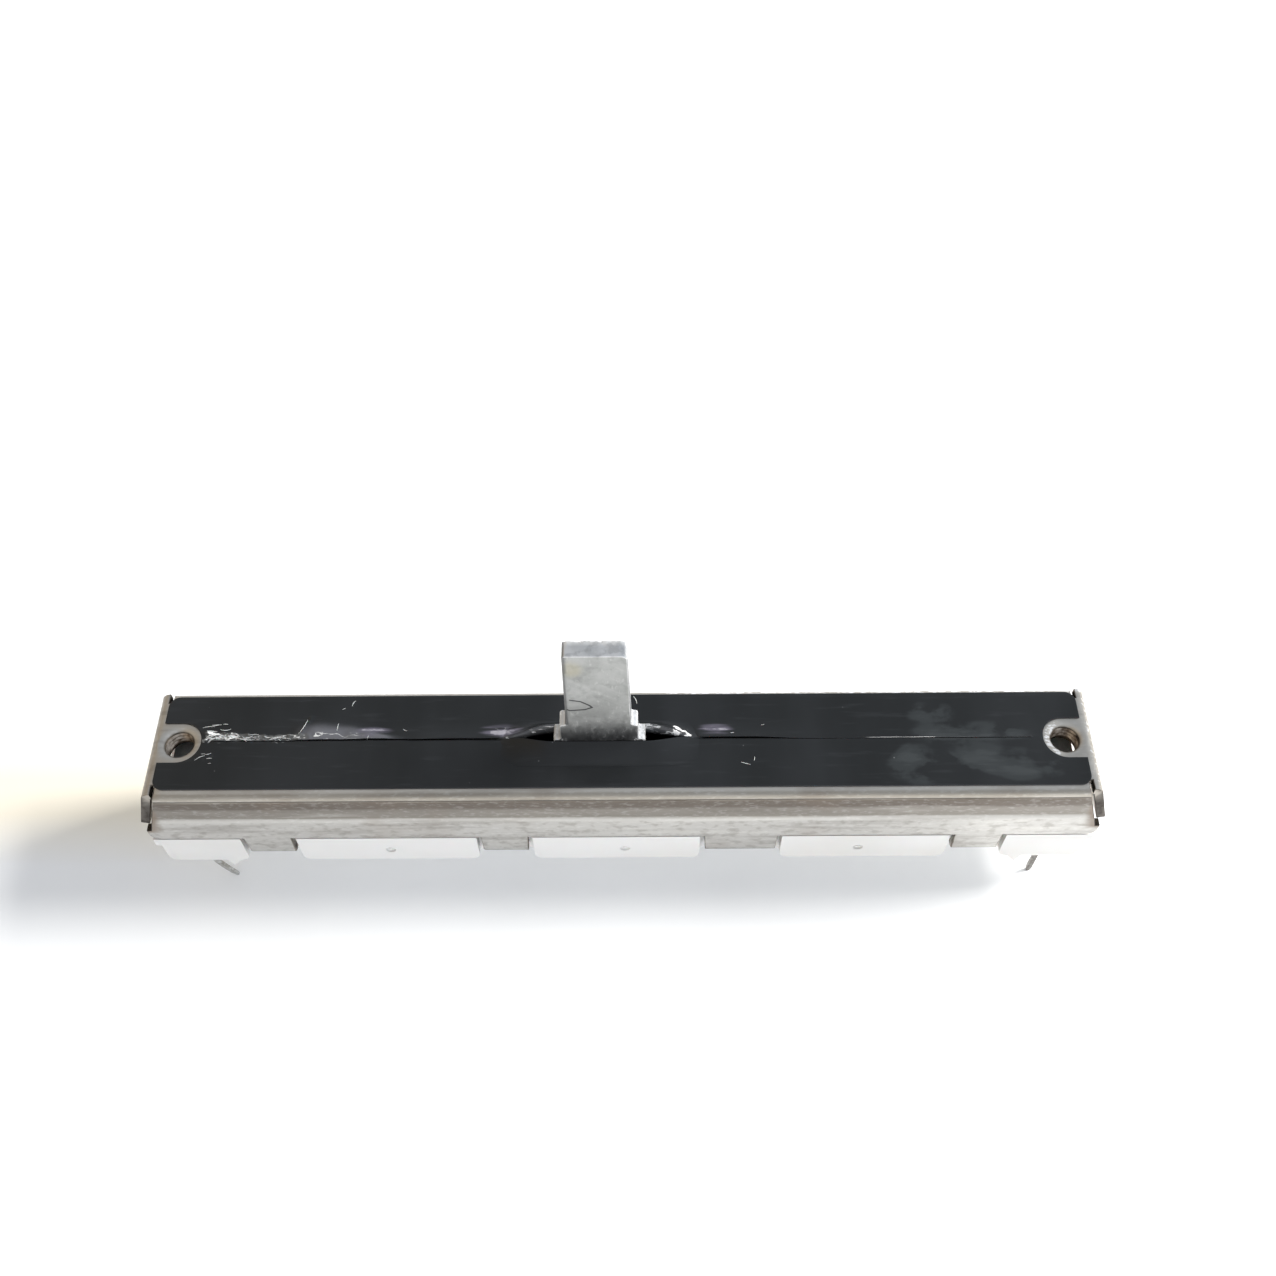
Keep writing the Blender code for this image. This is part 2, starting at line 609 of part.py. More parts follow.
def make_track(name, row, finish):
    """Printed track, as long as the wiper's run and a little more."""
    half = TRAVEL / 2 + WIPER_LENGTH / 2 + TRACK_OVERRUN
    outline = rectangle((-half, row - TRACK_WIDTH / 2), (half, row + TRACK_WIDTH / 2))
    return sheet_solid(name, [outline], TRACK_THICKNESS, downwards(TRACK_TOP), finish)


def make_terminal(name, end, side, lean, finish):
    """Stamped strip: an eye on the board, a right-angle bend beside it and a pin through the base."""
    top = BOARD_TOP - SEAT_GAP / 2 - PIN_THICKNESS
    bend_at = PIN_ROW + PIN_THICKNESS / 2 - TERMINAL_BEND
    first = bend_at + TERMINAL_BEND * QUARTER_TURN - (top + TERMINAL_BEND)
    shoulder = first + FLOOR_DEPTH - SEAT_GAP
    tip = first + PIN_TIP_DEPTH
    lean_from = first + BASE_BOTTOM + LEAN_BELOW_BASE

    def place(u, v, w):
        across, height = bent(v, bend_at, TERMINAL_BEND, QUARTER_TURN, w)
        share = max(v - lean_from, 0.0) / (tip - lean_from)
        return end * (PIN_X + u) - end * lean * share ** LEAN_POWER, side * across, TOP - top + height

    half, pin, point = TERMINAL_WIDTH / 2, PIN_WIDTH / 2, PIN_TIP_WIDTH / 2
    right = [(half, EYELET_ROW - half), (half, shoulder), (pin, shoulder + SEAT_GAP), (pin, tip - PIN_WIDTH),
             (point, tip)]
    outline = right + [(-u, v) for u, v in reversed(right)]
    eye = circle((0.0, EYELET_ROW), EYELET_RADIUS + SEAT_GAP, EYELET_SEGMENTS)
    lines = []
    for i in range(BEND_STEPS + 1):
        v = bend_at + TERMINAL_BEND * QUARTER_TURN * i / BEND_STEPS
        lines.append(((-TERMINAL_WIDTH, v), (TERMINAL_WIDTH, v)))
    if lean:
        levels = [lean_from + (tip - lean_from) * i / BEND_STEPS for i in range(BEND_STEPS)]
        lines += [((-TERMINAL_WIDTH, v), (TERMINAL_WIDTH, v)) for v in levels]
    return sheet_solid(name, [outline, eye], PIN_THICKNESS, place, finish, lines)


def make_eyelet(name, end, side, finish):
    """Hollow rivet through the terminal's eye and the board, flared at both ends."""
    upper = -(BOARD_TOP - SEAT_GAP - PIN_THICKNESS)
    lower = -(BOARD_BOTTOM + SEAT_GAP / 2)
    profile = [(EYELET_BORE, upper + EYELET_LIP), (EYELET_FLANGE, upper + EYELET_LIP),
               (EYELET_FLANGE, upper), (EYELET_RADIUS, upper), (EYELET_RADIUS, lower),
               (EYELET_FLANGE, lower), (EYELET_FLANGE, lower - EYELET_LIP),
               (EYELET_BORE, lower - EYELET_LIP)]
    centre = Vector((end * PIN_X, side * EYELET_ROW, TOP))
    return turned(name, profile, EYELET_SEGMENTS, lambda x, y, z: centre + Vector((x, y, z)), finish)


# Guide rods and end blocks


def make_rod(name, row, finish):
    """Straight rod with chamfered ends, lying along X."""
    half = BLOCK_END - ROD_COVER - SEAT_GAP
    profile = [(0.0, -half), (ROD_RADIUS - ROD_CHAMFER, -half), (ROD_RADIUS, ROD_CHAMFER - half),
               (ROD_RADIUS, half - ROD_CHAMFER), (ROD_RADIUS - ROD_CHAMFER, half), (0.0, half)]
    return turned(name, profile, ROD_SEGMENTS, lambda y, z, x: (x, row + y, TOP - ROD_DEPTH + z), finish)


def make_end_block(name, end, finish):
    """Block on the end of the base: it holds both rods and stops the carriage."""
    half_y = WALL_FACE - SHEET - BLOCK_SIDE_ROOM
    top = ROD_DEPTH - ROD_RADIUS - BLOCK_ABOVE_ROD
    tongue_y = BOARD_HALF_WIDTH - SEAT_GAP
    tongue = BOARD_TOP - PIN_THICKNESS - EYELET_LIP - 3 * SEAT_GAP
    seat = BASE_TOP - SEAT_GAP
    section = [(-half_y, seat), (-half_y, top + BLOCK_ABOVE_ROD), (-half_y + BLOCK_ABOVE_ROD, top),
               (half_y - BLOCK_ABOVE_ROD, top), (half_y, top + BLOCK_ABOVE_ROD), (half_y, seat)]
    low = STOP_X if end > 0 else -BLOCK_END
    block = sheet_solid(name, [section], BLOCK_END - STOP_X, along_x(low), finish)
    tongue_end = min(BOARD_HALF_LENGTH, BLOCK_END) - SEAT_GAP
    reach = sorted((end * (STOP_X + SEAT_GAP), end * tongue_end))
    cut(block, pocket(f"add_tongue_{name}", (reach[0], -tongue_y, seat - SHEET),
                      (reach[1], tongue_y, tongue), finish), "UNION")
    reach = sorted((end * (STOP_X - CUT_BEYOND), end * (BLOCK_END - ROD_COVER)))
    for row in (-ROD_ROW, ROD_ROW):
        bore = circle((row, ROD_DEPTH), ROD_RADIUS + ROD_FIT, ROD_SEGMENTS)
        cut(block, sheet_solid(f"cut_bore_{name}_{row > 0}", [bore], reach[1] - reach[0],
                               along_x(reach[0]), finish))
    return block


# Slider


def lever_outline():
    """Front view of the lever, as X from its middle and depth: tip, two steps and tang."""
    def step(half, wider, depth):
        """A shoulder whose inner and outer corners are rounded."""
        radius = min(STEP_RADIUS, (wider - half) / 2)
        inner = arc((half + radius, depth - radius), radius, math.pi, QUARTER_TURN, STEP_SEGMENTS)
        outer = arc((wider - radius, depth + radius), radius, -QUARTER_TURN, 0.0, STEP_SEGMENTS)
        return inner[:-1] + outer

    tip = NECK_HALF - LEVER_TAPER
    right = [(tip - LEVER_TIP_CHAMFER, -LEVER_HEIGHT), (tip, LEVER_TIP_CHAMFER - LEVER_HEIGHT)]
    right += step(NECK_HALF, NECK_HALF + UPPER_STEP, -UPPER_STEP_HEIGHT)
    right += step(NECK_HALF + UPPER_STEP, LEVER_HALF, -LOWER_STEP_HEIGHT)
    right.append((LEVER_HALF, TANG_DEPTH))
    return right + [(-x, depth) for x, depth in reversed(right)]


def make_lever(slider, finish):
    """Stamped flat lever."""
    outline = lever_outline()
    lever = sheet_solid("lever", [outline], LEVER_THICKNESS, along_y(-LEVER_THICKNESS / 2), finish)
    lever.parent = slider
    return lever


def carriage_section():
    """End view of the carriage: a sleeve round each rod and a hub between them."""
    right = [(HUB_HALF, CARRIAGE_TOP), (HUB_HALF, SHELF_DEPTH)]
    right += arc((ROD_ROW, ROD_DEPTH), SLEEVE, -QUARTER_TURN, QUARTER_TURN, ROD_SEGMENTS // 2)
    return right + [(-y, depth) for y, depth in reversed(right)]


def make_carriage(slider, finish):
    """Moulded slide block with four bearing lands, a pocket for the tang and two wiper pegs."""
    bores = [circle((row, ROD_DEPTH), ROD_RADIUS + RUN_FIT, ROD_SEGMENTS) for row in (-ROD_ROW, ROD_ROW)]
    half = CARRIAGE_LENGTH / 2
    carriage = sheet_solid("carriage", [carriage_section()] + bores, CARRIAGE_LENGTH, along_x(-half), finish)
    tang = LEVER_HALF + SEAT_GAP
    cutters = [pocket("cut_tang", (-tang, -LEVER_THICKNESS / 2 - SEAT_GAP, CARRIAGE_TOP - CUT_BEYOND),
                      (tang, LEVER_THICKNESS / 2 + SEAT_GAP, TANG_DEPTH + SEAT_GAP), finish)]
    for end in (-1, 1):
        reach = sorted((end * (LEVER_HALF + HUB_END_WALL), end * (half + CUT_BEYOND)))
        cutters.append(pocket(f"cut_hub_{end > 0}", (reach[0], -2 * HUB_HALF, CARRIAGE_TOP - CUT_BEYOND),
                              (reach[1], 2 * HUB_HALF, SHELF_DEPTH), finish))
    waist = half - BEARING_LENGTH
    for side in (-1, 1):
        reach = sorted((side * (ROD_ROW + ROD_RADIUS / 2), side * (WALL_FACE + CUT_BEYOND)))
        cutters.append(pocket(f"cut_waist_{side > 0}", (-waist, reach[0], SHELF_DEPTH - CUT_BEYOND),
                              (waist, reach[1], CARRIAGE_BOTTOM + CUT_BEYOND), finish))
    for cutter in cutters:
        cutter.parent = slider
        cut(carriage, cutter)
    for end in (-1, 1):
        x = end * PEG_SPACING / 2
        peg = turned(f"add_peg_{end > 0}", [(0.0, 0.0), (PEG_RADIUS, 0.0), (PEG_RADIUS, -PEG_HEIGHT * 2),
                                            (0.0, -PEG_HEIGHT * 2)], PEG_SEGMENTS,
                     lambda u, v, w: (x + u, v, TOP - CARRIAGE_BOTTOM + PEG_HEIGHT + w), finish)
        peg.parent = slider
        cut(carriage, peg, "UNION")
    carriage.parent = slider
    return carriage


def make_wiper(slider, finish):
    """Stamped contact: a plate on two pegs, and fingers that bend down to each track."""
    seat = CARRIAGE_BOTTOM + SEAT_GAP / 2
    drop = TRACK_TOP - TRACK_GAP - WIPER_SHEET - seat
    pitch = FINGER_WIDTH + FINGER_GAP
    neck = TRACK_ROW - pitch * FINGERS / 2
    half_x, half_y = WIPER_LENGTH / 2, TRACK_ROW + pitch * FINGERS / 2 - FINGER_GAP / 2
    reach = FINGER_LENGTH
    start = half_x - reach
    curl = reach - FINGER_CURL

    def place(u, v, w):
        run = u - start
        if abs(v) <= neck or run <= 0.0:
            return u, v, TOP - seat - w
        share = min(run / curl, 1.0)
        height = drop * (0.5 - 0.5 * math.cos(math.pi * share))
        height -= max(run - curl, 0.0) * CURL_SLOPE
        return u, v, TOP - seat - w - height

    outline = [(-half_x, -half_y)]
    for row in (-TRACK_ROW, TRACK_ROW):
        for i in range(FINGERS):
            left = row + (i - FINGERS / 2) * pitch + FINGER_GAP / 2
            outline += [(start, left), (half_x, left), (half_x, left + FINGER_WIDTH),
                        (start, left + FINGER_WIDTH)]
        if row < 0:
            outline += [(start, -neck), (PEG_SPACING / 2 + 2 * PEG_RADIUS, -neck),
                        (PEG_SPACING / 2 + 2 * PEG_RADIUS, neck), (start, neck)]
    outline.append((-half_x, half_y))
    pegs = [circle((end * PEG_SPACING / 2, 0.0), PEG_RADIUS + SEAT_GAP / 2, PEG_SEGMENTS) for end in (-1, 1)]
    levels = [start + reach * i / FINGER_STEPS for i in range(FINGER_STEPS)]
    lines = [((u, side * neck), (u, side * (half_y + FINGER_GAP))) for u in levels for side in (-1, 1)]
    wiper = sheet_solid("wiper", [outline] + pegs, WIPER_SHEET, place, finish, lines)
    wiper.parent = slider
    return wiper


def make_slider_spring(slider, finish):
    """Bowed leaf on the rear sleeve that bears on the underside of the plate."""
    rest = SHELF_DEPTH - SEAT_GAP
    crown = SHEET + SPRING_ROOM + SPRING_SHEET
    half = CARRIAGE_LENGTH / 2 - SPRING_ROOM
    rise = rest - crown

    def place(u, v, w):
        share = max(1.0 - abs(u) / (half - SPRING_FOOT), 0.0)
        bow = rise * (0.5 - 0.5 * math.cos(math.pi * share))
        return u, v, TOP - rest + bow + w

    row = HUB_HALF + SPRING_ROOM + SPRING_WIDTH / 2
    outline = rectangle((-half, row - SPRING_WIDTH / 2), (half, row + SPRING_WIDTH / 2))
    levels = [(half - SPRING_FOOT) * i / SPRING_STEPS for i in range(-SPRING_STEPS, SPRING_STEPS + 1)]
    lines = [((u, row - SPRING_WIDTH), (u, row + SPRING_WIDTH)) for u in levels]
    spring = sheet_solid("slider_spring", [outline], SPRING_SHEET, place, finish, lines)
    spring.parent = slider
    return spring


def main():
    clear_scene()
    plated_steel = material("plated_steel", (0.33, 0.31, 0.27), 0.42, 1.0)
    lever_steel = material("lever_steel", (0.50, 0.48, 0.43), 0.35, 1.0)
    seal_film = material("seal_film", (0.028, 0.030, 0.032), 0.45)
    white_plastic = material("white_plastic", (0.78, 0.76, 0.72), 0.5)
    phenolic_board = material("phenolic_board", (0.22, 0.11, 0.045), 0.6)
    carbon_print = material("carbon_print", (0.012, 0.012, 0.013), 0.5)
    tinned_brass = material("tinned_brass", (0.55, 0.54, 0.51), 0.35, 1.0)
    rod_steel = material("rod_steel", (0.55, 0.55, 0.55), 0.25, 1.0)
    acetal = material("acetal", (0.03, 0.03, 0.032), 0.4)
    contact_bronze = material("contact_bronze", (0.62, 0.40, 0.18), 0.3, 1.0)
    spring_steel = material("spring_steel", (0.45, 0.44, 0.42), 0.3, 1.0)

    make_frame(plated_steel)
    make_dust_seal(seal_film)
    make_base(white_plastic)
    make_board(phenolic_board)
    make_track("resistive_track", -TRACK_ROW, carbon_print)
    make_track("collector_track", TRACK_ROW, carbon_print)
    for end, end_name in ((-1, "left"), (1, "right")):
        for side, side_name in ((-1, "front"), (1, "rear")):
            place = f"{end_name}_{side_name}"
            lean = PIN_LEAN if place == "left_front" else 0.0
            make_terminal(f"terminal_{place}", end, side, lean, tinned_brass)
            make_eyelet(f"eyelet_{place}", end, side, tinned_brass)
        make_end_block(f"end_block_{end_name}", end, white_plastic)
    make_rod("guide_rod_front", -ROD_ROW, rod_steel)
    make_rod("guide_rod_rear", ROD_ROW, rod_steel)

    slider = bpy.data.objects.new("slider_axis", None)
    slider.location.x = LEVER_AT
    bpy.context.collection.objects.link(slider)
    make_lever(slider, lever_steel)
    make_carriage(slider, acetal)
    make_wiper(slider, contact_bronze)
    make_slider_spring(slider, spring_steel)


main()
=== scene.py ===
# %% [markdown]
# # A slide potentiometer, from folded sheet to finished picture
#
# This lesson dresses a small fader: a folded steel frame, a black film with a slit, a flat steel lever that
# slides along the slit, and a white moulded base on solder pins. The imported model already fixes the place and
# the size of every piece, so it is loaded first. Each cell then says what a piece or a finish is on the real
# thing, how it could be made in Blender, and why this way was chosen.

# %% Load the frame
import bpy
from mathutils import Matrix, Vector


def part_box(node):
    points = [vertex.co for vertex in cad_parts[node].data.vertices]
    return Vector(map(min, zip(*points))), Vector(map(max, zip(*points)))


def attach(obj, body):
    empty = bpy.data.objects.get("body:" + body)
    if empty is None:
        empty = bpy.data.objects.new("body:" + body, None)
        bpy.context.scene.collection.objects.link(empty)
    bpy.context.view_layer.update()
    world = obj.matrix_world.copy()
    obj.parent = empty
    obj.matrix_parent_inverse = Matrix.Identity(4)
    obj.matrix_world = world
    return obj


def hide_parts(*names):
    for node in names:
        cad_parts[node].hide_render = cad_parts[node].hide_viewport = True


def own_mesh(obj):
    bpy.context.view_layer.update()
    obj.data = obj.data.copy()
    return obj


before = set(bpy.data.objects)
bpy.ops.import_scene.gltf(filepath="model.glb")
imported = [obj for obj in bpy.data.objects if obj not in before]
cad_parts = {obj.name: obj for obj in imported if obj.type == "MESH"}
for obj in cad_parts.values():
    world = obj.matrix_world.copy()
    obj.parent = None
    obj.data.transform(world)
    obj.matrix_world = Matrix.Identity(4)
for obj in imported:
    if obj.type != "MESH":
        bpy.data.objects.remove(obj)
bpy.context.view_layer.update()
print("nodes loaded:", len(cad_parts))

# %% Tools and units
import math
import random

import bmesh
import bpy
import numpy as np
from mathutils import Euler, Matrix, Vector, geometry, noise
from mathutils.geometry import delaunay_2d_cdt

MM = 0.001
QUARTER_TURN = math.pi / 2
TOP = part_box("frame")[1].z / MM
print("the face of the frame lies", round(TOP, 2), "mm above the pin tips")

# %% [markdown]
# ## The camera
#
# The photograph looks down on the fader from the front. A camera's place can be found by hand, by turning it
# until the picture fits. Here it was worked out instead, from corners whose real places are known, so a lens
# length, a place and three angles hold the whole view. The picture is square, 1276 pixels a side.

# %% Camera at the photograph's viewing angle
PICTURE_SIDE = 1276
LENS_IN_PIXELS = 1367.7
SENSOR = 36.0
CAMERA_PLACE = Vector((2.361, -61.71, 124.937)) * MM
LOOK_DOWN = math.radians(55.792)
TURN_LEFT = math.radians(0.65)
TILT = math.radians(-0.915)

camera_data = bpy.data.cameras.new("camera")
camera_data.sensor_width = SENSOR
camera_data.lens = LENS_IN_PIXELS / PICTURE_SIDE * SENSOR
camera_data.clip_start = 0.01
camera = bpy.data.objects.new("camera", camera_data)
turn = Euler((0, 0, TURN_LEFT)).to_matrix() @ Euler((QUARTER_TURN - LOOK_DOWN, 0, 0)).to_matrix()
turn = turn @ Euler((0, 0, TILT)).to_matrix()
camera.matrix_world = Matrix.Translation(CAMERA_PLACE) @ turn.to_4x4()
bpy.context.collection.objects.link(camera)
bpy.context.scene.camera = camera
bpy.context.scene.view_settings.view_transform = "Standard"
print("lens", round(camera_data.lens, 2), "mm")

# %% [markdown]
# ## Light, floor and background
#
# The fader stood on white paper near a window: soft light from behind and from the right, a pale shadow in
# front and a warmer one at the left. One area lamp is the window. The world is the room: pale in front,
# where it lights the white moulding, and dimmer behind, where the plate and the film mirror it. The lamp is
# hidden from mirror rays, or its whole square would glare in the flat film and plate, where the photograph
# has no such patch. The paper is white because its own colour is pale and because camera rays see a touch
# more light on it, which keeps the shadow. The touch grows with the distance, so the background turns white.
# The warm light from the room that falls into the shadow at the left is painted into the paper's colour there.

# %% Colours and shader nodes
MIX_A, MIX_B, MIX_OUT = 6, 7, 2
OBJECT_COORDINATES = 3


def linear(hex_colour):
    """Turn an sRGB hex colour into linear red, green, blue and alpha."""
    values = [int(hex_colour[i:i + 2], 16) / 255 for i in (1, 3, 5)]
    return [v / 12.92 if v <= 0.04045 else ((v + 0.055) / 1.055) ** 2.4 for v in values] + [1.0]


def add(tree, kind, inputs=(), out=0, **settings):
    """Add a node, set its settings, fill or link its inputs, and give one of its outputs."""
    node = tree.nodes.new("ShaderNode" + kind)
    for name, value in settings.items():
        setattr(node, name, value)
    for key, value in (inputs.items() if isinstance(inputs, dict) else enumerate(inputs)):
        if isinstance(value, bpy.types.NodeSocket):
            tree.links.new(value, node.inputs[key])
        else:
            node.inputs[key].default_value = value
    return node.outputs[out] if len(node.outputs) else None


def product(tree, *parts):
    """Multiply shares. A name among them stands for the mark that is stored on the piece by that name."""
    total = None
    for part in parts:
        if isinstance(part, str):
            part = add(tree, "Attribute", out=2, attribute_name=part)
        total = part if total is None else add(tree, "Math", [total, part], operation="MULTIPLY")
    return total


print("white paper is", [round(v, 3) for v in linear("#F2F4F6")])

# %% The window and the room
ROOM_LEFT = 0.48
ROOM_RIGHT = 0.64
FRONT_LIFT = 1.25
WARM_FULL, WARM_NONE = -0.65, -0.15
WINDOW_PLACE = Vector((0.33, 0.09, 0.29))
WINDOW_SIDE = 0.15
WINDOW_WATTS = 3.3

world = bpy.data.worlds.new("room")
world.use_nodes = True
bpy.context.scene.world = world
tree = world.node_tree
tree.nodes.clear()
direction = add(tree, "TexCoord")
aside = add(tree, "SeparateXYZ", [direction])
away = add(tree, "SeparateXYZ", [direction], out=1)
brightness = product(tree, add(tree, "MapRange", [aside, -0.8, 0.8, ROOM_LEFT, ROOM_RIGHT]),
                     add(tree, "MapRange", [away, -0.5, 0.4, FRONT_LIFT, 1.0]))
warmth = add(tree, "MapRange", [aside, WARM_FULL, WARM_NONE, 1.0, 0.0])
tint = add(tree, "Mix", {0: warmth, MIX_A: linear("#EEF5FF"), MIX_B: linear("#FFF1DE")}, out=MIX_OUT,
           data_type="RGBA")
seen = add(tree, "LightPath")
strength = add(tree, "Mix", {0: seen, 2: brightness, 3: 1.0})
add(tree, "OutputWorld", [add(tree, "Background", [tint, strength])])

window_data = bpy.data.lights.new("window", "AREA")
window_data.shape = "SQUARE"
window_data.size = WINDOW_SIDE
window_data.energy = WINDOW_WATTS
window_data.color = linear("#FFFCF7")[:3]
window = bpy.data.objects.new("window", window_data)
towards = WINDOW_PLACE.to_track_quat("Z", "Y").to_matrix()
window.matrix_world = Matrix.Translation(WINDOW_PLACE) @ towards.to_4x4()
window.visible_glossy = False
bpy.context.collection.objects.link(window)
print("window", round(WINDOW_PLACE.length, 2), "m away")

# %% The paper
PAPER_SIDE = 3.0
PAPER_GLOW = 0.10
FAR_GLOW = 0.55
GLOW_FROM, GLOW_TO = 0.09, 0.35
# Where the paper is painted warm, as painted light: a strip at the left, in the fader's shadow.
PAINTED_WARM_LEFT = -0.039, -0.047
PAINTED_WARM_BACK = -0.004, 0.002
PAINTED_WARM_FRONT = 0.006, 0.014

paper = bpy.data.materials.new("white paper")
paper.use_nodes = True
tree = paper.node_tree
tree.nodes.clear()
where = add(tree, "NewGeometry")
across = add(tree, "SeparateXYZ", [where])
along = add(tree, "SeparateXYZ", [where], out=1)
# Painted warm light: the paper's colour turns warm at the left, where the shadow falls.
painted_warm_light = product(tree, add(tree, "MapRange", [across, *PAINTED_WARM_LEFT, 0.0, 1.0]),
                add(tree, "MapRange", [along, *PAINTED_WARM_BACK, 0.0, 1.0]),
                add(tree, "MapRange", [along, *PAINTED_WARM_FRONT, 1.0, 0.0]))
tint = add(tree, "Mix", {0: painted_warm_light, MIX_A: linear("#F2F4F6"), MIX_B: linear("#E8E1D0")}, out=MIX_OUT,
           data_type="RGBA")
diffuse = add(tree, "BsdfDiffuse", {"Color": tint})
distance = add(tree, "VectorMath", [where], out=1, operation="LENGTH")
far = add(tree, "MapRange", [distance, GLOW_FROM, GLOW_TO, PAPER_GLOW, FAR_GLOW])
seen = add(tree, "LightPath")
glow = add(tree, "Emission", {"Color": linear("#FFFFFF"), "Strength": product(tree, seen, far)})
add(tree, "OutputMaterial", [add(tree, "AddShader", [diffuse, glow])])

sheet = bmesh.new()
bmesh.ops.create_grid(sheet, x_segments=1, y_segments=1, size=PAPER_SIDE / 2)
paper_mesh = bpy.data.meshes.new("paper")
sheet.to_mesh(paper_mesh)
paper_mesh.materials.append(paper)
floor = bpy.data.objects.new("paper", paper_mesh)
bpy.context.collection.objects.link(floor)
print("paper", PAPER_SIDE, "m square")

# %% [markdown]
# ## Sheet helpers
#
# Most of this fader is sheet: punched flat, then folded. A box with a bevel could stand for each wall, but a
# fold would then be a guess. Here each sheet is drawn flat as a real blank, filled with small triangles,
# rounded at its sheared edges, and only then sent through a function that says where each point of the
# blank lands. All of these helpers work in millimetres.

# %% Outlines


def arc(centre, radius, start, end, steps):
    """Points of an arc from start to end, in radians, both ends included."""
    turns = [start + (end - start) * i / steps for i in range(steps + 1)]
    return [(centre[0] + radius * math.cos(t), centre[1] + radius * math.sin(t)) for t in turns]


def circle(centre, radius, segments):
    """A closed loop of points on a circle."""
    return arc(centre, radius, 0.0, 2 * math.pi * (segments - 1) / segments, segments - 1)


def rectangle(low, high):
    """A closed loop round a box given by two opposite corners."""
    return [(low[0], low[1]), (high[0], low[1]), (high[0], high[1]), (low[0], high[1])]


def split(loop, step, us=(), vs=()):
    """Add points to a closed loop: where it crosses the given levels, and then at least every step."""
    result = []
    for (ax, ay), (bx, by) in zip(loop, loop[1:] + loop[:1]):
        length = math.hypot(bx - ax, by - ay)
        shares = [0.0, 1.0]
        for low, high, levels in ((ax, bx, us), (ay, by, vs)):
            for level in levels:
                if min(low, high) < level < max(low, high):
                    share = (level - low) / (high - low)
                    if all(abs(share - other) * length > 0.02 for other in shares):
                        shares.append(share)
        shares.sort()
        for start, end in zip(shares, shares[1:]):
            count = max(1, math.ceil((end - start) * length / step))
            for i in range(count):
                share = start + (end - start) * i / count
                result.append((ax + (bx - ax) * share, ay + (by - ay) * share))
    return result


def with_material_at_left(loops):
    """The outline anticlockwise and its holes clockwise."""
    result = []
    for i, loop in enumerate(loops):
        points = np.array(loop)
        after = np.roll(points, -1, axis=0)
        area = (points[:, 0] * after[:, 1] - after[:, 0] * points[:, 1]).sum()
        result.append(points if (area > 0) == (i == 0) else points[::-1])
    return result


def inset(loop, amount):
    """Move a closed loop into the material at its left, corners included."""
    along = np.roll(loop, -1, axis=0) - loop
    along = along / np.linalg.norm(along, axis=1, keepdims=True)
    left = np.stack((-along[:, 1], along[:, 0]), axis=1)
    before = np.roll(left, 1, axis=0)
    sharpness = 1 + (left * before).sum(axis=1, keepdims=True)
    return loop + (left + before) / sharpness.clip(0.3) * amount


def inside(points, loops):
    """For each point, whether it lies in the outline and in none of its holes."""
    x, y = points[:, 0], points[:, 1]
    odd = np.zeros(len(points), bool)
    for loop in loops:
        for (ax, ay), (bx, by) in zip(loop, np.roll(loop, -1, axis=0)):
            if ay != by:
                odd ^= ((ay > y) != (by > y)) & (x < ax + (bx - ax) * (y - ay) / (by - ay))
    return odd


def grid(us, vs):
    """Every pair of two lists of levels."""
    return np.array([(u, v) for u in us for v in vs])


def levels(low, high, step):
    """Even levels from low to high, about a step apart."""
    return list(np.linspace(low, high, max(2, round((high - low) / step) + 1)))


print("outline helpers ready")

# %% Blanks with rounded edges
EDGE_MARGIN = 0.12


def triangulate(loops, extra):
    """Fill an outline with triangles, as indices into the loops' points followed by the extra ones."""
    points = np.concatenate([*loops, extra])
    edges, first = [], 0
    for loop in loops:
        edges += [(first + i, first + (i + 1) % len(loop)) for i in range(len(loop))]
        first += len(loop)
    verts, _, faces, came_from, *_ = delaunay_2d_cdt([Vector(p) for p in points], edges, [], 0, 1e-7)
    middles = np.array([sum((verts[i] for i in face), Vector((0, 0))) / len(face) for face in faces])
    kept = inside(middles, loops)
    return [[came_from[i][0] for i in face] for face, keep in zip(faces, kept) if keep]


def new_piece(name, points, faces, finishes, slots=None, sharp=40):
    """Make a mesh object from points in millimetres, with smooth shading between shallow angles."""
    mesh = bpy.data.meshes.new(name)
    mesh.from_pydata([Vector(p) * MM for p in points], [], faces)
    for finish in finishes:
        mesh.materials.append(finish)
    if slots is not None:
        mesh.polygons.foreach_set("material_index", slots)
    shape = bmesh.new()
    shape.from_mesh(mesh)
    loose = [vert for vert in shape.verts if not vert.link_faces]
    bmesh.ops.delete(shape, geom=loose, context="VERTS")
    bmesh.ops.recalc_face_normals(shape, faces=shape.faces)
    shape.to_mesh(mesh)
    shape.free()
    mesh.shade_smooth()
    mesh.set_sharp_from_angle(angle=math.radians(sharp))
    piece = bpy.data.objects.new(name, mesh)
    bpy.context.collection.objects.link(piece)
    print(name, len(mesh.polygons), "faces")
    return piece


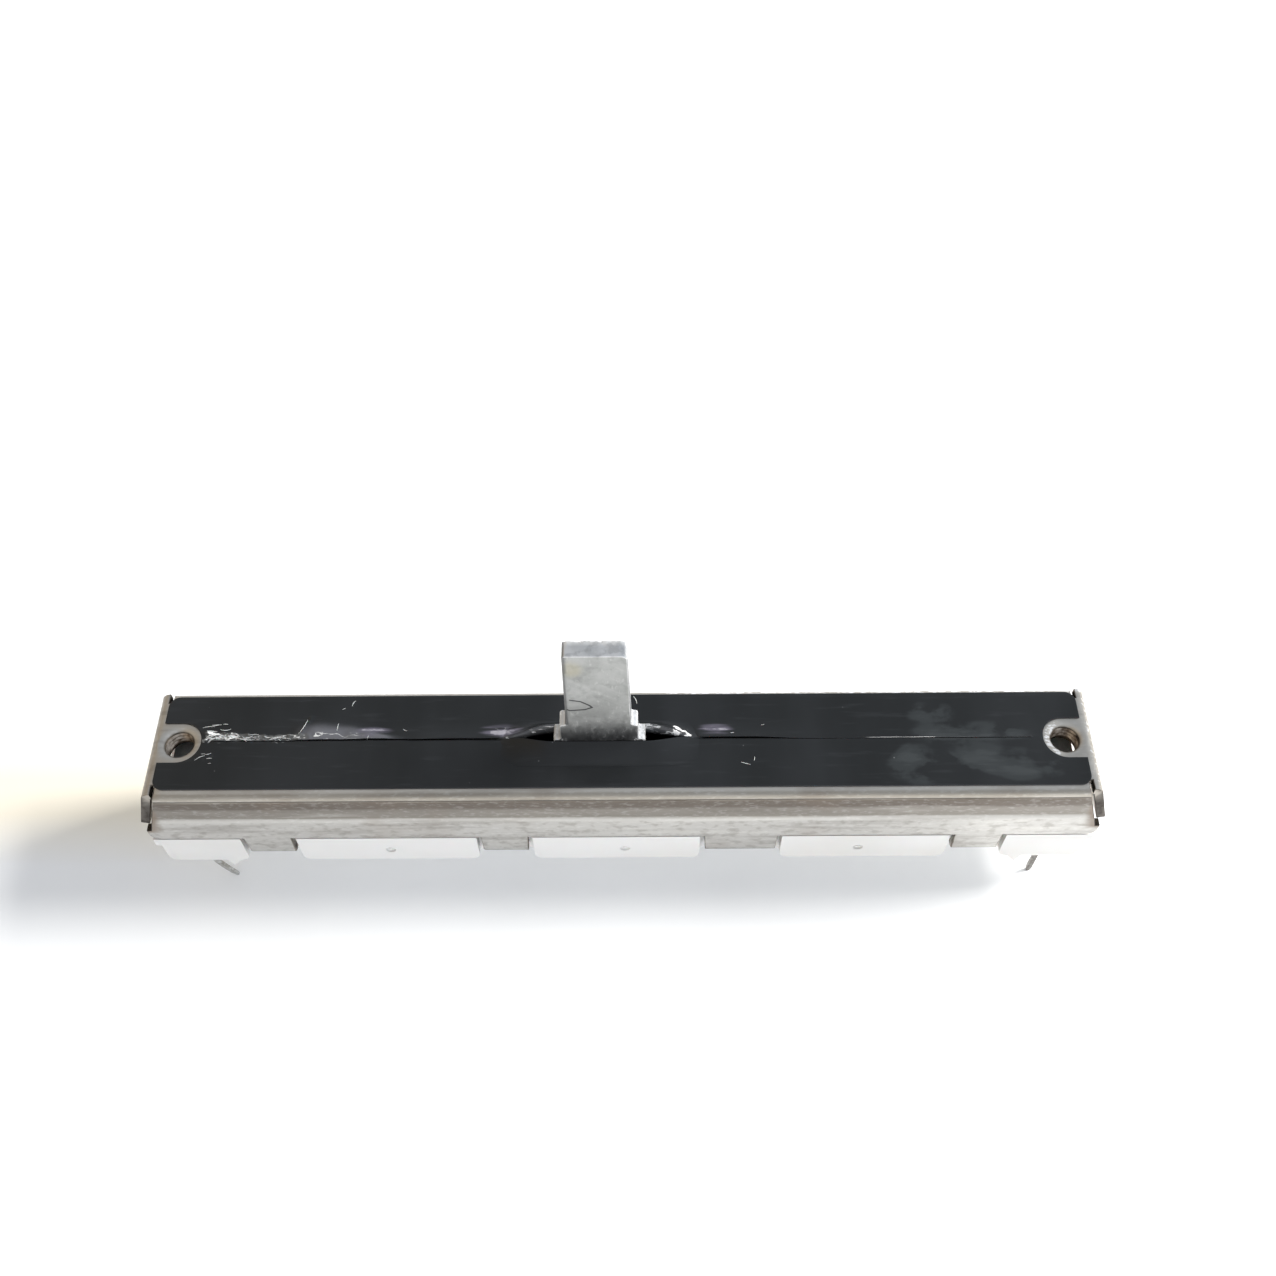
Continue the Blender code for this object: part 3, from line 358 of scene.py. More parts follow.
def sheet_piece(name, loops, thickness, place, finishes, extra=(), roll=0.06, steps=2, through=1):
    """A flat blank with rounded edges, put in place or folded by place(u, v, w)."""
    loops = with_material_at_left(loops)
    extra = np.array(extra).reshape(-1, 2)
    extra = extra[inside(extra, [inset(loop, roll + EDGE_MARGIN) for loop in loops])]
    near = [inset(loop, roll) for loop in loops]
    triangles = triangulate(near, extra)
    turns = [QUARTER_TURN * i / steps for i in range(1, steps + 1)]
    rings = [(roll * (1 - math.sin(t)), roll * (1 - math.cos(t))) for t in turns]
    far = [(amount, thickness - w) for amount, w in reversed(rings)]
    rings += [(0.0, roll + (thickness - 2 * roll) * i / through) for i in range(1, through)] + far
    flat = np.concatenate([*near, extra])
    layers = [[(u, v, 0.0) for u, v in flat]]
    layers += [[(u, v, w) for loop in loops for u, v in inset(loop, amount)] for amount, w in rings]
    layers.append([(u, v, thickness) for u, v in flat])
    starts = np.cumsum([0] + [len(layer) for layer in layers])
    faces = list(triangles) + [[starts[-2] + i for i in reversed(face)] for face in triangles]
    flats = len(faces)
    for lower, upper in zip(starts[:-2], starts[1:-1]):
        first = 0
        for loop in loops:
            for i in range(len(loop)):
                a, b = first + i, first + (i + 1) % len(loop)
                faces.append((lower + a, upper + a, upper + b, lower + b))
            first += len(loop)
    slots = [0] * flats + [len(finishes) - 1] * (len(faces) - flats)
    points = [place(*point) for layer in layers for point in layer]
    return new_piece(name, points, faces, finishes, slots)


def bars(many):
    """Points and faces of closed bars, each given as its sections, which are closed loops of points."""
    points, faces = [], []
    for sections in many:
        count = len(sections[0])
        first, last = len(points), len(points) + count * (len(sections) - 1)
        points += [corner for section in sections for corner in section]
        faces += [(k + i, k + (i + 1) % count, k + count + (i + 1) % count, k + count + i)
                  for k in range(first, last, count) for i in range(count)]
        faces += [tuple(range(first, first + count)), tuple(range(last, last + count))]
    return points, faces


def even_faces(piece):
    """Let large flat faces decide the shading, so that rounded edges don't smear over them."""
    modifier = piece.modifiers.new("even faces", "WEIGHTED_NORMAL")
    modifier.keep_sharp = True


def ease(value, low, high):
    """A share that turns smoothly from 0 at low to 1 at high, also where low is above high."""
    share = min(max((value - low) / (high - low), 0.0), 1.0)
    return share * share * (3 - 2 * share)


def window_share(value, low, high, soft):
    """1 between low and high, fading to 0 over soft beyond them."""
    return ease(value, low - soft, low) * ease(value, high + soft, high)


def crumple(x, y, size):
    """Sharp folds, as thin film makes them, between 0 and 1."""
    return 1 - min(abs(noise.noise(Vector((x / size, y / size, 3.7)))) * 3.2, 1.0)


print("sheet helpers ready")

# %% [markdown]
# ## Finishes
#
# Each finish starts from a real material and the process that made it, and its name says both. A colour
# alone would look like paint: what the eye reads is how the process left the surface, such as the fine
# speckle of tin over rolled steel or the satin of a moulding. Pattern sizes are written in millimetres, and
# the coordinates are scaled to millimetres once, in one place. Wear isn't spread evenly, so each piece
# carries marks: numbers at its points that say how strong a kind of wear is there. A finish multiplies a
# mark by a fine pattern, which breaks the mark's soft edge up into scratches and specks.

# %% Helpers for finishes
SMOOTH = {"interpolation_type": "SMOOTHSTEP"}


def start_finish(name):
    """A new material, its node tree, and the place on the object in millimetres as a vector."""
    finish = bpy.data.materials.new(name)
    finish.use_nodes = True
    tree = finish.node_tree
    tree.nodes.clear()
    spot = add(tree, "VectorMath", {0: add(tree, "TexCoord", out=OBJECT_COORDINATES), "Scale": 1 / MM},
               operation="SCALE")
    return finish, tree, spot


def speckle(tree, spot, size, detail=3.0, stretch=(1.0, 1.0, 1.0)):
    """A cloudy pattern about 0.5, whose patches are about size millimetres wide."""
    scale = [1 / (size * s) for s in stretch]
    return add(tree, "TexNoise", {"Vector": add(tree, "VectorMath", [spot, scale], operation="MULTIPLY"),
                                  "Scale": 0.5, "Detail": detail})


def apart(tree, value, middle):
    """How far a value is from a middle one."""
    return add(tree, "Math", [add(tree, "Math", [value, middle], operation="SUBTRACT")], operation="ABSOLUTE")


def painted(tree, base, *layers):
    """Colours over one another: each covers more while its value, or product, goes from low to high."""
    shade = linear(base)
    for over, value, low, high, *most in layers:
        parts = value if isinstance(value, tuple) else (value,)
        share = add(tree, "MapRange", [product(tree, *parts), low, high, 0.0, *(most or [1.0])], **SMOOTH)
        shade = add(tree, "Mix", {0: share, MIX_A: shade, MIX_B: linear(over)}, out=MIX_OUT, data_type="RGBA")
    return shade


def close_finish(finish, tree, height, depth, **inputs):
    """Add the surface itself, with a relief that is depth millimetres deep."""
    values = {name.replace("_", " "): value for name, value in inputs.items()}
    values["Normal"] = add(tree, "Bump", {"Height": height, "Distance": depth * MM, "Strength": 1.0})
    add(tree, "OutputMaterial", [add(tree, "BsdfPrincipled", values)])
    return finish


def metal_finish(name, colour, tarnish, roughness, grain=0.25, stretch=(1.0, 1.0, 1.0), relief=0.004):
    """Plated or rolled metal: a fine grain, cloudy tarnish and a few fine scratches."""
    finish, tree, spot = start_finish(name)
    cloud = speckle(tree, spot, 3.0)
    fine = speckle(tree, spot, grain, detail=4.0, stretch=stretch)
    both = add(tree, "Math", [cloud, fine], operation="ADD")
    shade = painted(tree, colour, (tarnish, both, 0.85, 1.3), ("#2E2620", "tarnish", 0.1, 0.9, 0.85))
    rough = add(tree, "MapRange", [fine, 0.3, 0.7, roughness - 0.08, roughness + 0.1], **SMOOTH)
    return close_finish(finish, tree, fine, relief, Base_Color=shade, Metallic=1.0, Roughness=rough)


def moulded_finish(name, colour, shadow, roughness=0.42, relief=0.01):
    """Injection moulded plastic: satin, with a faint orange peel and flow shade."""
    finish, tree, spot = start_finish(name)
    flow = speckle(tree, spot, 6.0, detail=2.0, stretch=(2.0, 1.0, 1.0))
    peel = speckle(tree, spot, 0.35)
    shade = painted(tree, colour, (shadow, flow, 0.4, 0.7))
    rough = add(tree, "MapRange", [peel, 0.3, 0.7, roughness - 0.06, roughness + 0.08], **SMOOTH)
    return close_finish(finish, tree, peel, relief, Base_Color=shade, Roughness=rough, IOR=1.5,
                        Subsurface_Weight=0.06, Subsurface_Scale=0.3 * MM)


def store(piece, name, strengths):
    """Keep one number for each point of a piece, under a name that its finish reads."""
    piece.data.attributes.new(name, "FLOAT", "POINT").data.foreach_set("value", strengths)
    print(piece.name, "has", name, "at", sum(strength > 0.1 for strength in strengths), "points")


def mark(piece, name, strength_at):
    """Store how strong a mark is at each point of a piece, worked out from its place in millimetres."""
    store(piece, name, [strength_at(*(vert.co / MM)) for vert in piece.data.vertices])


print("finish helpers ready")

# %% [markdown]
# ## The frame
#
# The frame of the real fader is one piece of tin-plated steel, 0.8 mm thick: pierced, drawn at the two screw
# holes, then folded down along both sides and at the ends. Its walls step out by a joggle half way down and
# end in tabs that clinch the base. Four plates joined at right angles would look close from afar, but the
# light on the rolled bend is what makes it read as folded metal, so the blank is folded by the same rule as
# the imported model, only in finer steps.

# %% Sizes of the frame
FRAME_WIDTH = 11.0
HOLE_X = 40.0
SHEET = 0.8
BEND_RADIUS = 0.95
PLATE_PAST_HOLE = 2.4
WALL_END_GAP = 0.2
SKIRT_PAST_HOLE = 3.7
WALL_DEPTH = 8.0
JOGGLE = 0.15
JOGGLE_DEPTH = 4.3
JOGGLE_RUN = 0.5
FLAP_DEPTH = 5.7
FLAP_FLARE = math.radians(17.0)
FLAP_SIDE_GAP = 0.25
FLAP_CORNER = 0.6
NOTCH_GAP = 0.55
SKIRT_CORNER = 0.9
CORNER_SLIT = 0.35
CORNER_RELIEF = 0.3
TABS = ((-33.0, 4.4), (-11.0, 4.4), (11.0, 6.8), (33.0, 4.4))
TAB_TAPER = 0.15
TAB_DEPTH = 11.4
TAB_FOOT = 0.1
SLOT_HALF = 35.7, 1.4
THREAD_RADIUS = 1.3
LEAD_IN = 0.7
LEAD_DROP = 0.34
LEAD_SHARE = 0.35
BURR_DEPTH = 2.2
BURR_WALL = 0.5
PIERCED = 0.3
GROOVE_DEPTH = 1.05
GROOVE_HALF = 0.09
GROOVE = 0.05
THREAD_PITCH = 0.5
THREAD_CUT = 0.14

PLATE_EDGE = FRAME_WIDTH / 2 - BEND_RADIUS
WALL_FACE = FRAME_WIDTH / 2
SKIRT_FACE = WALL_FACE + JOGGLE
FLAP_ANGLE = QUARTER_TURN - FLAP_FLARE
FLAP_START = HOLE_X + PLATE_PAST_HOLE - BEND_RADIUS * math.tan(FLAP_ANGLE / 2)
SCREW_MOUTH = THREAD_RADIUS + LEAD_IN
print("blank folds at", round(PLATE_EDGE, 2), "and", round(FLAP_START, 2), "mm")

# %% How the blank folds


def bent(distance, start, radius, angle, w):
    """Where a point of a sheet lands when the sheet bends down at start. Returns (along, height)."""
    if distance <= start:
        return distance, -w
    turn = min((distance - start) / radius, angle)
    run = start + (radius - w) * math.sin(turn)
    height = -radius + (radius - w) * math.cos(turn)
    straight = max(distance - start - radius * angle, 0.0)
    return run + straight * math.cos(angle), height - straight * math.sin(angle)


def developed(depth):
    """Distance across the flat blank of a point on the side wall at this depth."""
    return PLATE_EDGE + BEND_RADIUS * QUARTER_TURN + depth - BEND_RADIUS


def fold_side(distance, w):
    """Across the frame: plate, bend, wall with its groove and joggle, and the foot under the base."""
    foot_start = developed(TAB_DEPTH - BEND_RADIUS)
    if distance <= foot_start:
        across, height = bent(distance, PLATE_EDGE, BEND_RADIUS, QUARTER_TURN, w)
        share = min(max((distance - developed(JOGGLE_DEPTH)) / JOGGLE_RUN, 0.0), 1.0)
        across += JOGGLE * share * share * (3 - 2 * share)
        off = (distance - developed(GROOVE_DEPTH)) / GROOVE_HALF
        return across - GROOVE * math.exp(-off * off) * (1 - w / SHEET), height
    turn = min((distance - foot_start) / BEND_RADIUS, QUARTER_TURN)
    straight = max(distance - foot_start - BEND_RADIUS * QUARTER_TURN, 0.0)
    across = SKIRT_FACE - BEND_RADIUS + (BEND_RADIUS - w) * math.cos(turn) - straight
    return across, BEND_RADIUS - TAB_DEPTH - (BEND_RADIUS - w) * math.sin(turn)


def drawn_hole(radius, w, angle):
    """Section of the drawn hole: its round lead-in, its thread and its outside, as (radius, height)."""
    share = (SCREW_MOUTH - radius) / (SCREW_MOUTH - PIERCED)
    drop = max(share - LEAD_SHARE, 0.0) / (1 - LEAD_SHARE)
    turn = min(share / LEAD_SHARE, 1.0) * QUARTER_TURN
    depth = LEAD_DROP * (1 - math.cos(turn)) + drop * (BURR_DEPTH - LEAD_DROP)
    phase = (depth / THREAD_PITCH - angle / (2 * math.pi)) % 1.0
    cut = THREAD_CUT * (1 - abs(2 * phase - 1)) * min(drop * 12, 1.0)
    near = SCREW_MOUTH - LEAD_IN * math.sin(turn) + cut, depth
    outer = THREAD_RADIUS + BURR_WALL
    far = SCREW_MOUTH - min(share / LEAD_SHARE, 1.0) * (SCREW_MOUTH - outer), SHEET
    far = far[0], SHEET + drop * (BURR_DEPTH - SHEET)
    share = w / SHEET
    return near[0] + (far[0] - near[0]) * share, -near[1] - (far[1] - near[1]) * share


def fold_frame(u, v, w):
    """Where a point of the flat blank lands: u along, v across, w into the sheet from its outside."""
    side_u = math.copysign(1.0, u)
    side_v = math.copysign(1.0, v)
    hole_u = u - side_u * HOLE_X
    distance = math.hypot(hole_u, v)
    if distance < SCREW_MOUTH:
        angle = math.atan2(v, hole_u)
        radius, height = drawn_hole(distance, w, angle)
        return side_u * HOLE_X + radius * math.cos(angle), radius * math.sin(angle), TOP + height
    if abs(u) > FLAP_START - CORNER_SLIT / 2 and abs(v) < WALL_FACE:
        along, height = bent(abs(u), FLAP_START, BEND_RADIUS, FLAP_ANGLE, w)
        return side_u * along, v, TOP + height
    across, height = fold_side(abs(v), w)
    return u, side_v * across, TOP + height


def tab_outline(centre, width):
    """Edge of one clinch tab of the blank, from left to right, outwards from the wall's bottom edge."""
    root = developed(WALL_DEPTH)
    tip = developed(TAB_DEPTH - BEND_RADIUS) + BEND_RADIUS * QUARTER_TURN + TAB_FOOT
    half, tip_half = width / 2, width / 2 - TAB_TAPER
    return [(centre - half, root), (centre - tip_half, tip), (centre + tip_half, tip),
            (centre + half, root)]


def wall_end(depth):
    """End of the side wall at a depth: it slopes with the end flap and leaves a narrow gap to it."""
    flap_inside = HOLE_X + PLATE_PAST_HOLE - SHEET / math.cos(FLAP_FLARE) + depth * math.tan(FLAP_FLARE)
    return flap_inside - WALL_END_GAP


def side_outline():
    """Edge of the blank round one side, from its left flap to its right one, on the +v side."""
    skirt_end = HOLE_X + SKIRT_PAST_HOLE
    skirt_top = FLAP_DEPTH + NOTCH_GAP
    root = developed(WALL_DEPTH)
    end = [(FLAP_START, PLATE_EDGE - CORNER_RELIEF),
           (FLAP_START - CORNER_SLIT, PLATE_EDGE - CORNER_RELIEF),
           (FLAP_START - CORNER_SLIT, PLATE_EDGE + BEND_RADIUS / 2),
           (wall_end(BEND_RADIUS), developed(BEND_RADIUS)),
           (wall_end(skirt_top), developed(skirt_top)),
           (skirt_end, developed(skirt_top))]
    end += arc((skirt_end - SKIRT_CORNER, root - SKIRT_CORNER), SKIRT_CORNER, 0.0, QUARTER_TURN, 7)
    tabs = [point for tab in TABS for point in tab_outline(*tab)]
    return [(-u, v) for u, v in end] + tabs + end[::-1]


def flap_outline():
    """Edge of the right end flap of the blank, from its +v root round its tip to its -v root."""
    straight = (FLAP_DEPTH - BEND_RADIUS * (1 - math.cos(FLAP_ANGLE))) / math.sin(FLAP_ANGLE)
    tip = FLAP_START + BEND_RADIUS * FLAP_ANGLE + straight
    half = WALL_FACE - FLAP_SIDE_GAP
    edge = [(FLAP_START, half)]
    edge += arc((tip - FLAP_CORNER, half - FLAP_CORNER), FLAP_CORNER, QUARTER_TURN, 0.0, 7)
    return edge + [(u, -v) for u, v in reversed(edge)]


print("wall is", round(developed(WALL_DEPTH) - PLATE_EDGE, 2), "mm long in the blank")

# %% Metals of the frame
GROOVE_SHADOW = 0.16


def plated_steel():
    """Tin-plated pressed steel with a painted highlight on the flat plate: brown under the bend, pale and
    grained below the joggle.
    """
    finish, tree, spot = start_finish("tin-plated pressed steel")
    depth = add(tree, "Math", [TOP, add(tree, "SeparateXYZ", [spot], out=2)], operation="SUBTRACT")
    # share of the painted highlight that makes the flat plate paler
    plate = add(tree, "MapRange", [depth, 0.3, 0.05], **SMOOTH)
    skirt = add(tree, "MapRange", [depth, 4.0, 5.0], **SMOOTH)
    streak = speckle(tree, spot, 0.5, detail=4.0, stretch=(14.0, 1.0, 1.0))
    band = add(tree, "Math", [streak, 0.7, add(tree, "Math", [depth, 0.35], operation="SUBTRACT")],
               operation="MULTIPLY_ADD")
    fine = speckle(tree, spot, 0.14, detail=5.0, stretch=(2.2, 1.0, 1.0))
    grain = speckle(tree, spot, 0.4, detail=6.0, stretch=(1.5, 1.0, 1.0))
    haze = speckle(tree, spot, 5.0)
    shade = painted(tree, "#A9A399",
                    # painted highlight: the flat plate is paler, for the window's light, which mirror rays
                    # don't see
                    ("#C9C5BD", plate, 0.0, 1.0),  # the flat plate is paler
                    ("#6D655D", band, 1.0, 1.35),  # brown band under the bend
                    ("#8D8881", band, 2.3, 2.9),
                    ("#C4C2BE", band, 4.1, 4.6),  # pale skirt under the joggle
                    ("#6E675F", streak, 0.52, 0.7, 0.3),  # drawing streaks, dark and light
                    ("#E9E7E1", streak, 0.46, 0.3, 0.2),
                    ("#8F8A83", (skirt, grain), 0.48, 0.66, 0.45),  # coarse grain of the skirt
                    ("#FFFFFF", fine, 0.52, 0.7, 0.1),  # tin crystals
                    ("#857567", haze, 0.5, 0.72, 0.4),  # cloudy tarnish
                    ("#3F3A35", apart(tree, depth, GROOVE_DEPTH), GROOVE_SHADOW, 0.04, 0.75),
                    # painted highlight on real torn metal: white on the torn edges and on the mouth of the
                    # right hole
                    ("#FFFFFF", ("burr_and_highlight", fine), 0.4, 0.56),
                    ("#83715F", "tarnish", 0.1, 1.0, 0.8))
    metallic = product(tree, add(tree, "MapRange", [product(tree, "tarnish"), 0.0, 1.0, 1.0, 0.3], **SMOOTH),
                       add(tree, "MapRange", [product(tree, "burr_and_highlight"), 0.0, 1.0, 1.0, 0.85]))
    rough = add(tree, "MapRange", [fine, 0.35, 0.65, 0.44, 0.38], **SMOOTH)
    relief = add(tree, "Math", [haze, 4.0, fine], operation="MULTIPLY_ADD")
    return close_finish(finish, tree, relief, 0.0015, Base_Color=shade, Metallic=metallic, Roughness=rough)


steel = plated_steel()
sheared = metal_finish("sheared steel edge", "#A8A299", "#3E352D", 0.42, grain=0.3, stretch=(1.0, 1.0, 2.0))
print(steel.name, "and", sheared.name)

# %% Rows of the blank
COLUMN = 1.0
BEND_ROWS = 10
BEND_LENGTH = BEND_RADIUS * QUARTER_TURN


def fold_levels():
    """Levels across the blank at which it turns, on the +v side."""
    rows = levels(PLATE_EDGE, developed(BEND_RADIUS), BEND_LENGTH / BEND_ROWS)
    rows += [developed(GROOVE_DEPTH + GROOVE_HALF * i) for i in (-0.7, 0, 0.7, 2)]
    rows += levels(developed(1.6), developed(JOGGLE_DEPTH - 0.1), 0.9)
    rows += levels(developed(JOGGLE_DEPTH), developed(JOGGLE_DEPTH + JOGGLE_RUN), JOGGLE_RUN / 4)
    rows += levels(developed(5.4), developed(TAB_DEPTH - BEND_RADIUS - 0.4), 0.8)
    foot = developed(TAB_DEPTH - BEND_RADIUS)
    return rows + levels(foot, foot + BEND_LENGTH, BEND_LENGTH / BEND_ROWS)


print(len(fold_levels()), "rows on each side of the plate")

# %% Draw the blank and fold it
RING_SEGMENTS = 64
LEAD_RINGS = 10
THREAD_RINGS = 30

side, flap = side_outline(), flap_outline()
blank = side + flap + [(u, -v) for u, v in reversed(side)] + [(-u, -v) for u, v in flap]
rows = fold_levels()
rows_both = rows + [-v for v in rows]
flap_bend = levels(FLAP_START, FLAP_START + BEND_RADIUS * FLAP_ANGLE, BEND_RADIUS * FLAP_ANGLE / BEND_ROWS)
flap_rows = flap_bend + levels(flap_bend[-1] + 0.6, flap_bend[-1] + 5.0, 0.9)
flap_both = flap_rows + [-u for u in flap_rows]
slot = rectangle((-SLOT_HALF[0], -SLOT_HALF[1]), SLOT_HALF)
lead = [SCREW_MOUTH - (SCREW_MOUTH - PIERCED) * LEAD_SHARE * i / LEAD_RINGS for i in range(LEAD_RINGS + 1)]
thread = [lead[-1] + (PIERCED - lead[-1]) * i / THREAD_RINGS for i in range(1, THREAD_RINGS)]
rings = [circle((x, 0.0), radius, RING_SEGMENTS) for x in (-HOLE_X, HOLE_X) for radius in lead + thread]
plate = grid(levels(-FLAP_START, FLAP_START, COLUMN), rows_both + levels(-4.0, 4.0, 1.0))
plate = plate[np.hypot(np.abs(plate[:, 0]) - HOLE_X, plate[:, 1]) > SCREW_MOUTH + 0.2]
skirts = grid(levels(FLAP_START, 43.3, COLUMN / 2), [v for v in rows_both if abs(v) > developed(6.2)])
flaps = grid(flap_both, levels(-4.8, 4.8, 0.8))
extra = np.concatenate([plate, skirts, skirts * (-1, 1), flaps, *rings])
loops = [split(blank, COLUMN, flap_both, rows_both), split(slot, COLUMN)]
loops += [circle((x, 0.0), PIERCED, RING_SEGMENTS) for x in (-HOLE_X, HOLE_X)]
shell = sheet_piece("frame_shell", loops, SHEET, fold_frame, [steel, sheared], extra, roll=0.07)
even_faces(shell)


# %% Burrs, painted highlights and tarnish of the frame


def edge_burr_and_highlight(x, y, z):
    """Bright torn right and rear edges, and the bright mouth of the right hole: a painted highlight, on real
    torn metal at the edges.
    """
    rear = ease(y, 4.6, 5.1) * ease(x, 0.0, 6.0)
    mouth = ease(math.hypot(x - HOLE_X, y), 2.1, 1.8) * ease(x, HOLE_X + 0.2, HOLE_X - 1.0)
    return max(rear, 0.75 * ease(x, 41.5, 42.1), mouth) * ease(z, TOP - 1.2, TOP - 0.3)


def corner_tarnish(x, y, z):
    """Brown tarnish inside the drawn holes, and darker brown at the corner notches and along the rims of the
    end flaps.
    """
    hole = math.hypot(abs(x) - HOLE_X, y)
    bore = ease(hole, 1.9, 1.45) * (0.15 + 0.6 * ease(z, TOP - 0.2, TOP - 0.7))
    notch = ease(abs(x), 42.5, 43.0) * ease(abs(z - TOP + FLAP_DEPTH + NOTCH_GAP), 0.3, 0.05)
    tip = TOP - FLAP_DEPTH
    flap = ease(abs(x), 41.9, 42.2) * ease(abs(y), 5.12, 5.2) * ease(z, tip - 0.2, tip)
    inner = HOLE_X + PLATE_PAST_HOLE + (TOP - z) * math.tan(FLAP_FLARE) - SHEET / 2
    flap_rim = flap * (0.35 + 0.65 * ease(abs(abs(x) - inner), 0.22, 0.42))
    return max(bore, notch, flap_rim)


mark(shell, "burr_and_highlight", edge_burr_and_highlight)
mark(shell, "tarnish", corner_tarnish)
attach(shell, "housing")
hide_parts("frame")

# %% [markdown]
# ## The tapped threads
#
# A screw thread is cut into the collar of each drawn hole, and its bright crests are what shows in the dark
# hole. Displacing the wall would need a very fine mesh. One ridge that winds down the wall, and fades out at
# both of its ends, gives the same crests with few faces.

# %% Tapped threads in the drawn holes
RIDGE_TOP = 0.5
RIDGE_PITCH = 0.45
RIDGE_TURNS = 2.6
TURN_STEPS = 48
RIDGE = 0.13
RIDGE_ROOT = 0.03
RIDGE_HALF = 0.14
FADE_STEPS = 8


def thread_ridge(x):
    """The three-cornered sections of one helical ridge down the drawn hole at x."""
    steps = round(RIDGE_TURNS * TURN_STEPS)
    sections = []
    for i in range(steps + 1):
        angle = 2 * math.pi * i / TURN_STEPS
        crest = RIDGE * ease(min(i, steps - i), 0, FADE_STEPS)
        z = TOP - RIDGE_TOP - RIDGE_PITCH * i / TURN_STEPS
        corners = ((-RIDGE_ROOT, -RIDGE_HALF), (crest, 0.0), (-RIDGE_ROOT, RIDGE_HALF))
        section = [(THREAD_RADIUS - rise, z - drop) for rise, drop in corners]
        sections.append([(x + r * math.cos(angle), r * math.sin(angle), height) for r, height in section])
    return sections


tapped = metal_finish("tapped thread in steel", "#BDB1A3", "#5E4F42", 0.34, grain=0.3)
threads = new_piece("screw_threads", *bars([thread_ridge(x) for x in (-HOLE_X, HOLE_X)]), [tapped], sharp=50)
even_faces(threads)
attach(threads, "housing")

# %% [markdown]
# ## The black film
#
# The real seal is thin black polyester film, die cut, glued down along its sides and slit down the middle.
# The lever pushes both lips of the slit up into two small tents, with a dark lens of open slit at each side.
# Two flat strips would be quick, but then nothing would tell how thin the film is. So the film is a closed
# sheet whose height is worked out point by point. At the left it is frayed and crumpled, and one stretch
# behind the slit has bulged up.

# %% Heights of the film
FILM = 0.12
FILM_TOP = TOP + 0.04 + FILM
HINGE = 2.0
SLIT = -37.3, 36.9
SLIT_HALF = 0.02


def frayed(x, y):
    """How frayed the film is: a stretch behind the slit at the left, and a bit by the left hole."""
    main = window_share(x, -37.2, -31.0, 1.0) * window_share(y, 0.1, 0.95 - 0.08 * (x + 37), 0.3)
    tail = window_share(x, -31.0, -28.6, 1.0) * window_share(y, 0.2, 0.6, 0.3)
    return max(main, tail, 0.4 * window_share(x, -38.0, -36.6, 0.4) * window_share(y, -1.9, -1.2, 0.4))


def lifted(x, y):
    """How far the film has come off behind the slit: a long low tent that points to the right."""
    rear = 2.3 * ease(x, -18.6, -26.5)
    across = ease(y, rear + 0.3, 0.3 * rear) * ease(y, -0.1, 0.06)
    return ease(x, -30.5, -27.6) * ease(x, -18.6, -22.5) * across


def creased(x, y, half=0.16):
    """The sharp crease that crosses the left end of the lifted stretch."""
    middle = -29.1 + 0.4 * (y - 0.4)
    return math.exp(-((x - middle) / half) ** 2) * window_share(y, 0.7, 2.4, 0.4)


def swollen(x, y):
    """How far the rear lip of the slit has lifted where the tents beside the lever end."""
    left = ease(x, -9.7, -11.0) * ease(x, -26.0, -15.0)
    return (0.36 * left + 0.4 * ease(x, 5.9, 7.2) * ease(x, 17.0, 11.5)) * (0.5 + 0.5 * (y > 0))


def film_height(x, y):
    """How far the glued film stands above its flat place."""
    slope = max(1 - abs(y) / HINGE, 0.0)
    lip = 0.05 + 0.05 * (y > 0) + 0.03 * noise.noise(Vector((x / 1.7, 0.0, 0.0)))
    height = (lip + swollen(x, y)) * slope ** 1.5 + 0.01 * noise.noise(Vector((x / 5, y / 2.5, 9.0)))
    height += 0.14 * frayed(x, y) * crumple(x, y * 1.8, 0.7)
    height += 0.36 * lifted(x, y) * (0.8 + 0.5 * noise.noise(Vector((x / 1.3, y / 1.3, 1.0))))
    height += 0.12 * creased(x, y)
    fold = math.exp(-((y + 0.75 + 0.02 * (x + 5)) / 0.28) ** 2) * window_share(x, -12.0, 1.0, 2.0)
    return height + 0.05 * fold


def place_film(u, v, w):
    """Lay a point of the film on the plate."""
    return u, v, FILM_TOP + film_height(u, v) - w


print("film rises", round(film_height(-25.0, 0.4), 2), "mm at the lifted stretch")

# %% Black film and its cut edge
RESIDUE = ((28.2, 2.6, 2.8, 1.5), (29.6, 0.4, 4.2, 1.5), (33.5, 0.7, 5.0, 1.3), (26.4, -2.6, 3.4, 2.6),
           (31.4, -2.3, 4.6, 2.3), (35.4, -2.7, 3.4, 2.0), (38.4, -3.0, 1.6, 1.3))
# Soft ovals where the raised film is painted with a violet sheen.
PAINTED_SHEEN_OVALS = ((-10.8, 0.9, 2.6, 1.0), (8.4, 0.9, 2.2, 0.9), (-22.4, 0.8, 2.2, 0.9))


def in_ovals(x, y, ovals):
    """1 inside any of several soft ovals, given as centre and half sizes."""
    distances = [math.hypot((x - cx) / half_x, (y - cy) / half_y) for cx, cy, half_x, half_y in ovals]
    return ease(min(distances), 1.15, 0.2)


